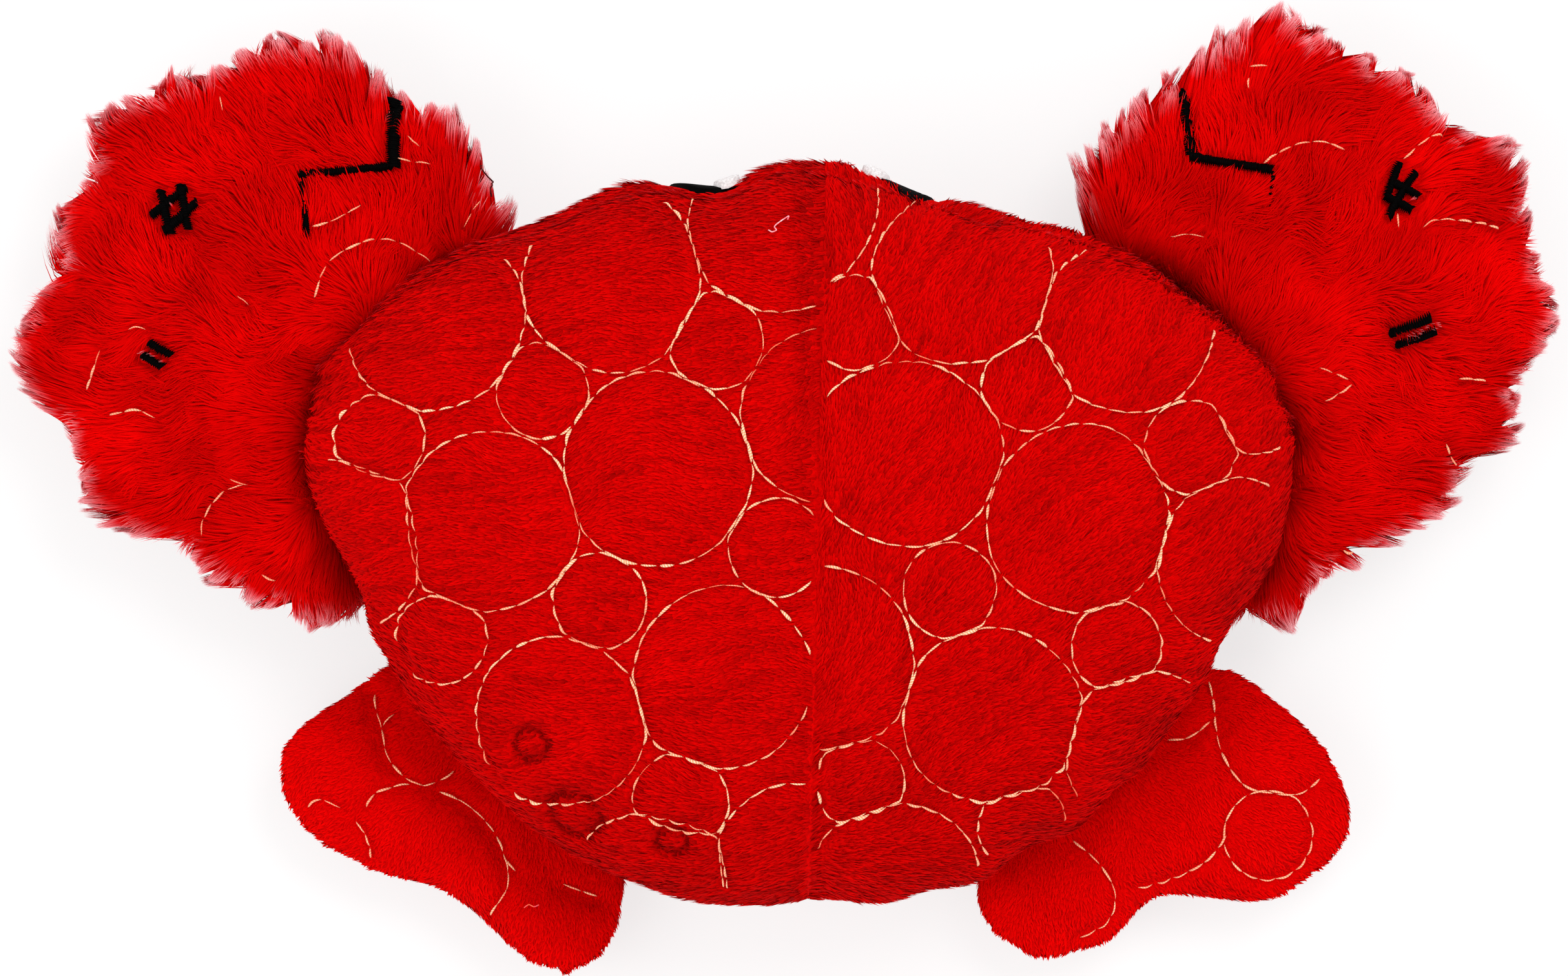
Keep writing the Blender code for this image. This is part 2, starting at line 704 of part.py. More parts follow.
def add_pocket(base, stuffing, material, helpers, parent):
    """The round pocket that the squeaker sits in, open towards the belly."""
    radius = BULB_RADIUS + POCKET_CLEARANCE
    ceiling = base.z + BULB_HEIGHT + NECK_HEIGHT + CLEARANCE + VALVE_FLANGE + POCKET_CLEARANCE
    floor = -CLOTH
    hole = bmesh.new()
    bmesh.ops.create_cone(
        hole, cap_ends=True, segments=2 * TURNED_STEPS, radius1=radius, radius2=radius,
        depth=ceiling - floor,
    )
    mesh = to_mesh("squeaker_pocket", hole)
    cutter = add_object("squeaker_pocket", mesh, material, helpers, parent)
    cutter.location = (base.x, base.y, (ceiling + floor) / 2)
    cut_away(stuffing, as_helper(cutter))


def stand_on_origin(parent, parts):
    """Moves the toy so that the middle of its underside's box is the origin."""
    bpy.context.view_layer.update()
    graph = bpy.context.evaluated_depsgraph_get()
    low = Vector((math.inf,) * 3)
    high = -low
    for obj in parts.objects:
        if obj.type != "MESH":
            continue
        evaluated = obj.evaluated_get(graph)
        mesh = evaluated.to_mesh()
        for vertex in mesh.vertices:
            place = evaluated.matrix_world @ vertex.co
            low = Vector(map(min, low, place))
            high = Vector(map(max, high, place))
        evaluated.to_mesh_clear()
    parent.location = (-(low.x + high.x) / 2, -(low.y + high.y) / 2, -low.z)
    bpy.context.view_layer.update()


def main():
    clear_scene()
    parts = new_collection("Crab plush toy")
    helpers = new_collection("Cutters and strands")
    materials = {name: make_material(name, *finish) for name, finish in FINISHES.items()}
    frame = bpy.data.objects.new("toy", None)
    parts.objects.link(frame)

    body = body_form()
    add_body(body, materials, parts, frame)
    stuffing = add_stuffing(
        "body_stuffing", body, BODY_ROUND, BODY_RINGS, materials["stuffing"], parts, frame
    )
    base = Vector((*BODY_CENTRE, body.bottom(*BODY_CENTRE) + CLOTH + CLEARANCE))
    add_squeaker(base, materials, parts, frame)
    add_pocket(base, stuffing, materials["stuffing"], helpers, frame)
    rounds, rings = CUTTER_FINENESS * BODY_ROUND, CUTTER_FINENESS * BODY_RINGS
    skin = shifted(map_to_form(unit_sphere(rounds, rings), body), LIMB_CLEARANCE)
    clearance = add_object(
        "body_clearance", to_mesh("body_clearance", skin), materials["minky"], helpers, frame
    )
    as_helper(clearance)

    for side, sign in SIDES.items():
        add_quilting(
            f"back_quilting_{side}", body, BACK_CIRCLES[side], back_area(body, sign), BACK_THREAD_STEP,
            materials["thread"], parts, helpers, frame,
        )
        claw = limb_form(
            CLAW_OUTLINES[side], CLAW_CENTRES[side], CLAW_SEAM_HEIGHT, CLAW_HALF,
            CLAW_ROOT_HALF, CLAW_SWELL, body,
        )
        add_limb(f"claw_{side}", claw, clearance, materials["fur"], materials, parts, frame)
        add_embroidery(side, claw, materials["satin"], parts, helpers, frame)

        legs = limb_form(
            LEG_OUTLINES[side], LEG_CENTRES[side], LEG_SEAM_HEIGHT, LEG_HALF,
            LEG_ROOT_HALF, LEG_SWELL, body,
        )
        add_limb(f"rear_legs_{side}", legs, clearance, materials["minky"], materials, parts, frame)

        add_quilting(
            f"rear_legs_{side}_quilting", legs, LEG_CIRCLES[side], leg_area(legs, body), LEG_THREAD_STEP,
            materials["thread"], parts, helpers, frame,
        )
        add_eye(side, body, materials, parts, frame)
    stand_on_origin(frame, parts)


main()
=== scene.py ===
"""How the crab plush dog toy looks: its stuffed forms, quilting, pile and long fur, and their light.

Plan places are in millimetres as seen from straight above, x to the right and y towards the face.
The function plan takes them to the frame, which is in metres.
"""

import math

import bmesh
import bpy
import numpy as np
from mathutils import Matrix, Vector
from mathutils.bvhtree import BVHTree
from mathutils.kdtree import KDTree


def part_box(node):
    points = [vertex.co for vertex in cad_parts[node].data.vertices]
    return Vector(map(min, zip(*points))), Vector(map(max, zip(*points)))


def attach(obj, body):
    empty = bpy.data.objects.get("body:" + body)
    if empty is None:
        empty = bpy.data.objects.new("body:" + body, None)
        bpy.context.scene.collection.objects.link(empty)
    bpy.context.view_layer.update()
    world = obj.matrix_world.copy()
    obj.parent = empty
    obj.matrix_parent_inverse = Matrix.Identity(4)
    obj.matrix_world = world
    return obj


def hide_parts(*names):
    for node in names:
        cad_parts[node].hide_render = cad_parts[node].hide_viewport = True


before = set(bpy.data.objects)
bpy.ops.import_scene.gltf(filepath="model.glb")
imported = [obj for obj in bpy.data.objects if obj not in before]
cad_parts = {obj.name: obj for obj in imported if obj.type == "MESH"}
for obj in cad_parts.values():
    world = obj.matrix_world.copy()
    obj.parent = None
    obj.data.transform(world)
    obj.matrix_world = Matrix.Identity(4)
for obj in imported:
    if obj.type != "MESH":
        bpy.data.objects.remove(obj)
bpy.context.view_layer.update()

MM = 0.001
SIDES = {"left": -1, "right": 1}
BODY_PANELS = ("back_panel_left", "back_panel_right", "face_panel", "belly_panel")
LIMB_PARTS = ("upper_panel", "lower_panel", "stuffing")

# View: the plan place at the middle of the picture, the width it shows, and the level that is true to scale
VIEW_CENTRE = (-3.1, 0.0)
VIEW_WIDTH = 0.280
VIEW_LEVEL = 0.040
LENS = 300.0
SENSOR = 36.0

# The rear edge of the belly lies this far behind the origin of the plan places
BELLY_REACH = 0.0763

# Stuffed forms: the size of the remesh, how far the skin lies inside the outer surface of its pile, and
# how far the stuffing may swell it
BODY_VOXEL = 0.0045
CLAW_VOXEL = 0.0045
LEG_VOXEL = 0.0035
BODY_PILE_DEPTH = 0.0010
CLAW_PILE_DEPTH = 0.0045
LEG_PILE_DEPTH = 0.0008
SWELL = 0.0022
SETTLE_FRAMES = 20
SEWN_REACH = 0.0032

# What lies lower than this rests on the floor, a hair's breadth above it
FLOOR_TOUCH = 0.0016
FLOOR_GAP = 0.0003
LOWEST_EDGE = 0.0002

# The steps in which an outline is read round its centre, and the margin round a grid of heights
SPOKES = 720
TOP_MARGIN = 0.010

# Stitches: the rings and sides of each, how far its strands twist, and its full width
STITCH_RINGS = 8
STITCH_SIDES = 8
STITCH_TWIST = 5.5
STITCH_WIDTH = 0.00056
SATIN_WIDTH = 0.00062
PLY_TURN = 12.566
SATIN_PITCH = 0.00035

# How high stitches lie over the skin, their length, the gap after each, and how deep they are buried
BACK_STITCHES = (0.0009, 0.0031, 0.0003)
LEG_STITCHES = (0.0008, 0.0030, 0.0004, 0.35)
CLAW_STITCHES = (0.0030, 0.0029, 0.0005, 0.52)

# Grooves pressed into a skin: depth and width, then how much painted shade darkens them and how wide that
# shade is
GROOVES = {
    "quilting": (0.0008, 0.0014, 0.22, 0.0009),
    "seam": (0.0011, 0.0016, 0.45, 0.0008),
    "dart": (0.0012, 0.0012, 0.30, 0.0008),
    "slit": (0.0022, 0.0011, 0.90, 0.0008),
    "ring": (0.0012, 0.0009, 0.75, 0.0007),
    "leg_quilting": (0.0011, 0.0016, 0.20, 0.0009),
    "leg_seam": (0.0008, 0.0014, 0.35, 0.0007),
}

# Short pile: how many hairs, their length and width, and where along a hair its shade is read
BACK_HAIRS = 31000
BELLY_HAIRS = 8500
PILE_LENGTH = 0.0019
PILE_WIDTH = 0.00057
HAIR_MIDDLE = 0.0008
LEG_HAIRS = 13000
LEG_PILE_LENGTH = 0.0015
LEG_PILE_WIDTH = 0.00054

# Long fur: hairs, segments and seed of each level, and how far out the lower one may reach
FUR_LEVELS = {"upper": (30500, 3, 81), "lower": (9000, 2, 86)}
LOWER_FUR_REACH = 0.96
FUR_LENGTH = 0.0070
FUR_RIM_LENGTH = 0.0018
FUR_WIDTH = 0.00041
HAIRS_A_CLUMP = 38
RIM_GUIDE_SHARE = 0.45

# Tufts that stand up between the strokes of the crosses and bars
TUFT_REACH = 0.00045
TUFT_LEAN = 1.35
TUFT_LENGTH = 0.0030

# The cheeks over the eyes: plan x and bulge in millimetres, then their level, half width and half height
CHEEKS = ((-32.0, 0.8), (30.0, 0.3))
CHEEK_LEVEL = 0.036
CHEEK_SPREAD = (0.0085, 0.011)

# Eyes: how thick the patch is padded, the glint's thickness and shift, and up to where the pile leaves it bare
EYE_PUFF = {"left": 0.0012, "right": 0.0006}
GLINT_PUFF = 0.0012
GLINT_SHIFT = 0.0016
EYE_BARE = {"left": 0.0395, "right": 0.0380}
EYE_RINGS = 10
EYE_SIDES = 40

# Light: the room's strength, and each lamp's place, size and power
ROOM_LIGHT = 0.92
LAMPS = {"key": ((0.45, 0.55, 1.3), 0.7, 7.2), "fill": ((-0.7, -0.3, 1.1), 0.9, 4.4)}
LIT_PLACE = (0, 0, 0.02)
FLOOR_SIZE = 3.0
FLOOR_GLOW = 0.72

# Quilting circles as seen: centre and radius
BACK_CIRCLES = {
    "left": [
        (-55.2, -6, 16), (-65, 29.5, 16), (-74.5, 8.5, 8), (-45.7, 17, 8.2), (-25.5, 3.2, 16.8),
        (-33.5, 36.5, 16), (-15, 25.7, 8.4), (-4, 46.5, 16), (5.5, 12.5, 16), (-4.5, -10.5, 8.5),
        (-42.5, -41.2, 15), (-14, -33.5, 15.9), (-35.5, -20, 8.3), (-63.5, -26.7, 8),
        (-21.3, -55, 8.3), (-1, -67.5, 15), (-26, -71, 14.5), (-81, -10, 15),
    ],
    "right": [
        (48.7, -5.5, 16.3), (18.5, 6, 16.5), (40, 18.2, 8.2), (57.5, 28.5, 15.5), (28.5, 37.5, 16),
        (-2.5, 50, 16), (68.8, 7.2, 8.3), (77, -13, 14.5), (33.5, -40, 15.6), (55.5, -28, 8),
        (61.5, -47, 15), (10.3, -52, 7.8), (16.5, -70, 14.8), (4, -30, 16), (26, -18, 8.3),
        (9.5, 29, 8.3), (39, -60, 8), (80.5, 13.3, 7.4, 182, 340),
    ],
}
BODY_OUTLINE = [
    (-50.5, 47), (-60, 44), (-70, 38.5), (-80, 30.5), (-87, 22), (-89.5, 12), (-90, 5), (-89, 0), (-84, -11),
    (-79.5, -20), (-78.5, -26), (-74, -32), (-70, -40.7), (-62.7, -49.5), (-50.5, -60.3), (-40.4, -67.7),
    (-33, -71.3), (-27, -73), (-22, -74.8), (-16, -75.5), (-5, -76.5), (0, -75.5), (10, -75), (16, -75.5),
    (19, -74), (23, -72.5), (32.5, -71), (40, -66), (50, -63), (57, -54), (62, -51), (65, -46), (71, -38),
    (75, -33), (76, -29), (79, -25), (85, -14), (88.5, 0), (89, 10), (85, 21), (78, 29.5), (70, 35), (60, 42),
    (49.5, 47), (39, 48.9), (35, 50.6), (30.6, 51.9), (25.4, 52.8), (19.3, 54.8), (13, 57.2), (7.3, 58.8),
    (0, 59.2), (-6, 59.2), (-9.4, 58.2), (-11, 56.0), (-13.4, 54.6), (-17, 54.2), (-20, 54.6), (-24.4, 55.2),
    (-30, 54.9), (-36, 53.0), (-40, 50.9), (-44, 49.4),
]
BODY_MIDDLE = (0.0, -8.0)
BODY_INSET = 0.0001
DOUBLED_HALF = 0.40
LINE_SHARING = 0.66
SEAM_TOP = (4.6, 57.0)
SEAM_END = (1.1, -76.0)

LEG_ARCS = {
    "left": [
        [(-76.8, -37.3), (-76.5, -40.5), (-75.5, -44), (-75, -47), (-74, -49.5), (-71.9, -51.7),
         (-69.7, -53.1), (-67.8, -53.7), (-65.3, -52.8), (-63.4, -51.9), (-62.3, -50.6)],
        [(-65.2, -54.9), (-62, -56), (-60, -57.3), (-58, -58.9), (-56.2, -60.9), (-54.5, -63.6),
         (-53.6, -66.4), (-53, -69.2), (-53, -72.2), (-54, -73.9), (-55.4, -75.8), (-56.2, -78.3)],
        [(-78.3, -57.5), (-77.9, -56.4), (-76.4, -54.8), (-74.7, -54.2), (-72.8, -53.7), (-70.3, -53.5)],
        [(-80.2, -60), (-78.7, -62), (-77.8, -64.2), (-77.5, -66.4), (-77.9, -67.4)],
        [(-88.8, -57.5), (-87.4, -56.2), (-85.2, -56.4), (-82.5, -57.9)],
        [(-53.4, -66.9), (-51.2, -69.4)],
        [(-43, -71.5), (-36, -74)],
        [(-75.3, -43), (-74.4, -41.8), (-72.2, -39.8)],
    ],
    "right": [
        [(84, -54.5), (89.7, -56.8), (92, -62.5), (89.7, -68.2), (84, -70.5), (78.3, -68.2), (76, -62.5),
         (78.3, -56.8), (84, -54.5)],
        [(73.5, -35), (74.5, -40), (75.5, -47), (79, -53), (84, -55), (90, -55), (94, -52)],
        [(66, -45.5), (70, -45), (74, -42)],
        [(76.5, -62.5), (73, -67), (67, -70), (60, -72)],
        [(49, -63.5), (54, -68), (56.5, -73), (55, -78), (50, -81)],
    ],
}
CLAW_ARCS = {
    "left": [
        [(-87, 33.5), (-85, 40.5), (-80, 43.3), (-75, 44.2), (-70, 42.5), (-67, 41)],
        [(-88, 46.5), (-83.5, 48), (-79, 51)], [(-73, 59), (-66, 57.5)], [(-71, 63), (-67, 60)],
        [(-59, 51), (-61, 46)], [(-120, 28), (-118, 28.6), (-116, 28)], [(-125, 25), (-127.5, 18)],
        [(-122.5, 13), (-118, 13.4), (-114.5, 12)], [(-101.5, 34), (-99, 32), (-101, 31)],
        [(-104, 69), (-103.4, 66)], [(-103, 2), (-99, 0.5)],
        [(-100, 0.5), (-105, -1), (-107, -5), (-107, -8)], [(-97, -14.5), (-94, -15.5)],
    ],
    "right": [
        [(81, 75), (84.4, 75)], [(81, 73), (81, 71)], [(83.6, 58), (87, 60.3), (92, 61.6), (97, 60.3)],
        [(66.5, 44.7), (70, 45.2), (73.4, 44.5)], [(107, 59), (110, 61.5), (112, 62.4), (115, 61.2)],
        [(106.6, 47.8), (106.6, 44.7)], [(111, 45.5), (114, 47), (120, 47), (124, 46)],
        [(92, 21.3), (98.8, 19.7)], [(93, 16.3), (98.4, 19)], [(117, 19.1), (121.4, 19.1)],
        [(114.8, 9.3), (116, 5.8)], [(96, -9.7), (98, -10)],
    ],
}

# Satin embroidery on the claws: each stroke's ends, its width, and how deep the fur buries it
SATIN = {
    "left": [
        ((-73.8, 70.4), (-73.6, 57.0), 2.9, 0.0), ((-73.6, 57.6), (-90, 56.2), 1.9, 0.34),
        ((-89.8, 57), (-88.7, 45), 1.4, 0.66),
    ],
    "right": [
        ((68.9, 70.5), (70.1, 59), 2.6, 0.22), ((70, 59), (85, 56.8), 2.1, 0.14),
        ((84.8, 56.6), (84.3, 51.5), 1.2, 0.85),
    ],
}

# Each stroke of the crosses: its middle, its turn in degrees and its length
CROSSES = {
    "left": [
        (-111, 48.2, 39, 7.8), (-113, 50.8, 39, 7.8), (-113.6, 49.1, -76, 7.8), (-110.4, 49.9, -76, 7.8),
    ],
    "right": [
        (105.4, 54.9, 70, 7.5), (107.2, 52.0, 58, 10.5), (108.0, 53.3, -29, 7.1), (106.8, 50.2, -28, 6.4),
    ],
}
CROSS_TUFTS = {"left": [(-112, 49.5)], "right": [(105.4, 52.8), (108.5, 50.9)]}
BAR_CENTRES = {"left": (-115, 23.8), "right": (109.5, 28.5)}
BAR_TURNS = {"left": -32, "right": 24}
BAR_STROKES = {"left": 4.4, "right": 7.0}
BAR_SPACING = 2.6
MARK_WIDTH = 1.9

# How far the fur of each claw reaches, seen from above
FRINGES = {
    "left": [
        (-50.5, 47), (-50.5, 50), (-52, 52.5), (-55, 53), (-56.5, 57), (-57.5, 61.5), (-60, 66),
        (-62, 67.5), (-67, 70), (-70, 70), (-71.5, 69), (-74.5, 72), (-76, 77), (-80, 80.5), (-89, 81.5),
        (-95.5, 81.5), (-100, 80), (-104, 77), (-110, 74.5), (-114, 75), (-116, 72), (-124, 70.5),
        (-127, 68.5), (-129, 65.5), (-126.5, 60.5), (-130, 55.5), (-134, 54.5), (-134.5, 45.5),
        (-132, 41), (-136, 40), (-135, 37.5), (-139.5, 35), (-140.5, 33), (-139.5, 30), (-143, 27),
        (-142.5, 21), (-140, 15.5), (-132, 11.5), (-131.5, 3), (-129, 1), (-130, -2.5),
        (-127.5, -5.5), (-120, -9.5), (-110, -12), (-109.5, -14.5), (-105, -17.5), (-95, -22),
        (-87, -26), (-83, -26.2), (-78.5, -26),
    ],
    "right": [
        (49.5, 50), (49.5, 54), (47.5, 58), (50, 59.5), (55, 65.5), (60, 70), (65, 73), (70, 78), (78, 82.5),
        (80.5, 84), (80, 80), (82.5, 87), (86, 87), (90.5, 84), (90.5, 80.5), (95, 83), (91.5, 78.5),
        (99, 81), (103, 76.5), (109, 75), (112, 72), (115, 67.5), (121, 63), (123.5, 65.5),
        (128, 62.5), (131, 59), (131.8, 54), (130, 50), (134, 49), (133, 44.5), (133, 38), (135.5, 36),
        (136.5, 33), (135, 27), (133.5, 22), (130, 20.5), (131.5, 19), (127.5, 16), (130, 13),
        (130, 10), (126, 4), (121, 2), (118, 4), (118.5, 0), (119, -2), (117, -5), (107, -9.5),
        (103.5, -12), (100.5, -15), (92, -16), (91, -21), (89, -25.5), (84, -24.5), (79, -28),
    ],
}
HIDDEN_EDGE = ((66, -12), (56, 14), (49, 38))
CLAW_CENTRES = {"left": (-99, 27), "right": (96, 30)}
CLAW_INSET = 0.0024
CLAW_SEAM_LEVEL = 0.026
LEG_OUTLINES = {
    "left": [
        (-73.6, -32), (-77, -35.5), (-86, -40.5), (-92.8, -47), (-93.2, -54), (-89.5, -60), (-86, -64),
        (-81.5, -67), (-77, -68.5), (-72, -70.5), (-64, -72.5), (-60, -75.5), (-55, -82), (-52, -84.5),
        (-47, -86.3), (-41, -86.8), (-36, -83), (-34, -80), (-33.3, -76), (-32.5, -71), (-36, -62),
        (-49, -47), (-61, -35),
    ],
    "right": [
        (75, -33), (81, -35.5), (88, -41), (94.5, -48.5), (98, -57), (98, -60.5), (96.5, -65),
        (89.5, -71.5), (83, -75), (78, -74.5), (71, -72.5), (64, -72.2), (61, -78), (56, -81),
        (54, -82.5), (49, -83.5), (43, -84.5), (39, -82.5), (35.5, -80), (32, -74.5), (32.5, -70),
        (35, -61), (48, -47), (61, -35),
    ],
}
LEG_CENTRES = {"left": (-62, -56), "right": (63, -57)}
LEG_INSET = -0.0021
CLAW_ROOTS = {"left": (-62, 14), "right": (60, 16)}

# Wear and folds on the back; their dents, darts and slit are darkened with painted shade
RING_DENTS = [
    (-48.2, -45.7, 2.9, 2.6, 0.0), (-40.4, -57.9, 4.8, 3.2, -28.0), (-23.1, -62.7, 2.8, 2.1, -10.0),
]
DARTS = [[(-87, 19.9), (-78, 19.5)], [(86.5, 15.6), (77, 16.0)]]
CHEEK_SLIT = [(19.2, 54.2), (24, 51.6), (28.7, 49.4), (33, 48.2)]
BACK_LINT = [
    (-5.6, 44.9), (-5.0, 44.6), (-4.3, 44.9), (-4.6, 45.5), (-3.9, 46.2), (-2.9, 46.9), (-2.2, 47.3),
    (-2.4, 46.7),
]
LEG_LINT = [(-50.0, -75.6), (-49.2, -75.1), (-48.3, -75.5), (-47.5, -75.2)]
DARK_THREAD = [(-58.2, 57.1), (-56.4, 55.5), (-55.6, 53.7), (-55.8, 51.5)]

# Colours are linear red, green and blue
RED_BLACK = (0.03, 0.0, 0.0)
RED_DARK = (0.10, 0.0, 0.0)
RED_DEEP = (0.24, 0.0, 0.0)
RED_SHADE = (0.52, 0.0, 0.0)
RED = (0.68, 0.0, 0.0)
RED_BRIGHT = (0.78, 0.0, 0.0)
FUR_BRIGHT = (0.88, 0.0, 0.0)
PINK = (0.90, 0.10, 0.14)
PINK_PALE = (0.98, 0.62, 0.66)
GOLD_DEEP = (1.0, 0.36, 0.15)
GOLD = (1.0, 0.52, 0.27)
GOLD_PALE = (1.0, 0.78, 0.54)
SALMON = (0.98, 0.14, 0.06)


def plan(places):
    """Plan places in millimetres as places of the frame in metres."""
    return np.asarray(places, float) * MM + ORIGIN


def in_mm(spots):
    """Places of the frame in metres as plan places in millimetres."""
    return (spots - ORIGIN) / MM


def heading_of(degrees):
    """The plan direction at that turn."""
    return np.array([math.cos(math.radians(degrees)), math.sin(math.radians(degrees))])


def square_to(along):
    """The plan direction to the left of another."""
    return np.array([-along[1], along[0]])


def turned(headings, turn):
    """Plan directions, each turned by its own angle."""
    x, y = headings.T
    cos, sin = np.cos(turn), np.sin(turn)
    return np.stack([x * cos - y * sin, x * sin + y * cos], axis=1)


def find_origin():
    low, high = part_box("belly_panel")
    return np.array([(low.x + high.x) / 2, low.y + BELLY_REACH])


ORIGIN = find_origin()


def waves(places, length, seed, count=14):
    """Smooth noise between about -1 and 1: a sum of waves in random directions."""
    chance = np.random.default_rng(seed)
    heading = chance.normal(size=(count, places.shape[1]))
    heading /= np.linalg.norm(heading, axis=1)[:, None]
    rate = 2 * np.pi / (length * chance.uniform(0.7, 1.5, count))
    phase = chance.uniform(0, 2 * np.pi, count)
    return np.sin(places @ (heading * rate[:, None]).T + phase).sum(1) / math.sqrt(2 * count)


def smoothstep(share):
    share = np.clip(share, 0, 1)
    return share * share * (3 - 2 * share)


def unit(vectors):
    return vectors / np.maximum(np.linalg.norm(vectors, axis=-1, keepdims=True), 1e-12)


# Meshes

def points_of(mesh):
    places = np.empty(len(mesh.vertices) * 3)
    mesh.vertices.foreach_get("co", places)
    return places.reshape(-1, 3)


def normals_of(mesh):
    found = np.empty(len(mesh.vertices) * 3)
    mesh.vertices.foreach_get("normal", found)
    return found.reshape(-1, 3)


def set_points(mesh, places):
    mesh.vertices.foreach_set("co", np.ascontiguousarray(places, dtype=np.float32).ravel())
    mesh.update()


def new_object(name, mesh):
    obj = bpy.data.objects.new(name, mesh)
    bpy.context.scene.collection.objects.link(obj)
    return obj


def mesh_of(name, places, faces):
    """A mesh from arrays: its points, and its faces, which all have as many corners."""
    mesh = bpy.data.meshes.new(name)
    corners = faces.shape[1]
    mesh.vertices.add(len(places))
    mesh.vertices.foreach_set("co", places.astype(np.float32).ravel())
    mesh.loops.add(faces.size)
    mesh.loops.foreach_set("vertex_index", faces.astype(np.int32).ravel())
    mesh.polygons.add(len(faces))
    mesh.polygons.foreach_set("loop_start", np.arange(0, faces.size, corners, dtype=np.int32))
    mesh.update(calc_edges=True)
    mesh.validate()
    mesh.shade_smooth()
    return mesh


def paint(mesh, name, values):
    """Keeps one number for each point of the mesh, for its material to read."""
    layer = mesh.attributes.new(name, "FLOAT", "POINT")
    layer.data.foreach_set("value", np.ascontiguousarray(values, dtype=np.float32).ravel())


def evaluated(obj):
    graph = bpy.context.evaluated_depsgraph_get()
    return bpy.data.meshes.new_from_object(obj.evaluated_get(graph))


def apply_modifiers(obj):
    mesh = evaluated(obj)
    obj.modifiers.clear()
    obj.data = mesh
    return mesh


def keep_outer_skin(mesh):
    """Drops what the remesh left inside: every island but the one with the most points."""
    skin = bmesh.new()
    skin.from_mesh(mesh)
    seen = set()
    islands = []
    for start in skin.verts:
        if start in seen:
            continue
        island = [start]
        seen.add(start)
        for vertex in island:
            for edge in vertex.link_edges:
                other = edge.other_vert(vertex)
                if other not in seen:
                    seen.add(other)
                    island.append(other)
        islands.append(island)
    outer = max(islands, key=len)
    for island in islands:
        if island is not outer:
            bmesh.ops.delete(skin, geom=island, context="VERTS")
    axes = {"use_axis_x": True, "use_axis_y": True, "use_axis_z": True}
    for _ in range(2):
        bmesh.ops.smooth_vert(skin, verts=skin.verts[:], factor=0.5, **axes)
    skin.to_mesh(mesh)
    skin.free()


def in_space(places):
    """The places as they are, or at level 0 where they are places on the plan."""
    return places if places.shape[1] == 3 else np.column_stack([places, np.zeros(len(places))])


def kd_tree(points):
    tree = KDTree(len(points))
    for index, point in enumerate(points):
        tree.insert(point, index)
    tree.balance()
    return tree


def nearest(points, queries, flat=False):
    """The distance from each query to the nearest of the points, over the plan alone where flat."""
    drop = np.array([1.0, 1.0, 0.0]) if flat else np.ones(3)
    tree = kd_tree(in_space(points) * drop)
    return np.array([tree.find(query)[2] for query in in_space(queries) * drop])


def dense(line, step=0.0005):
    """Points along a line of plan places in the frame, about a step apart."""
    line = np.asarray(line, float)
    pieces = []
    for start, end in zip(line, line[1:]):
        count = max(2, int(np.linalg.norm(end - start) / step))
        pieces.append(start + (end - start) * np.linspace(0, 1, count, endpoint=False)[:, None])
    return np.concatenate(pieces + [line[-1:]])


def rounded(line, per=8):
    """A smooth curve through the points of a line."""
    line = np.asarray(line, float)
    if len(line) < 3:
        return line
    closed = np.allclose(line[0], line[-1])
    ends = (line[-2], line[1]) if closed else (2 * line[0] - line[1], 2 * line[-1] - line[-2])
    knots = np.vstack([ends[0], line, ends[1]])
    t = np.linspace(0, 1, per, endpoint=False)[:, None]
    curve = []
    for a, b, c, d in zip(knots, knots[1:], knots[2:], knots[3:]):
        bend = t**2 * (2 * a - 5 * b + 4 * c - d) + t**3 * (3 * b - a - 3 * c + d)
        curve.append(b + 0.5 * (t * (c - a) + bend))
    return np.concatenate(curve + [line[-1:]])


def arc_points(arcs):
    """Points along all of the plan lines, each drawn as a smooth curve."""
    return np.concatenate([dense(plan(rounded(arc))) for arc in arcs])


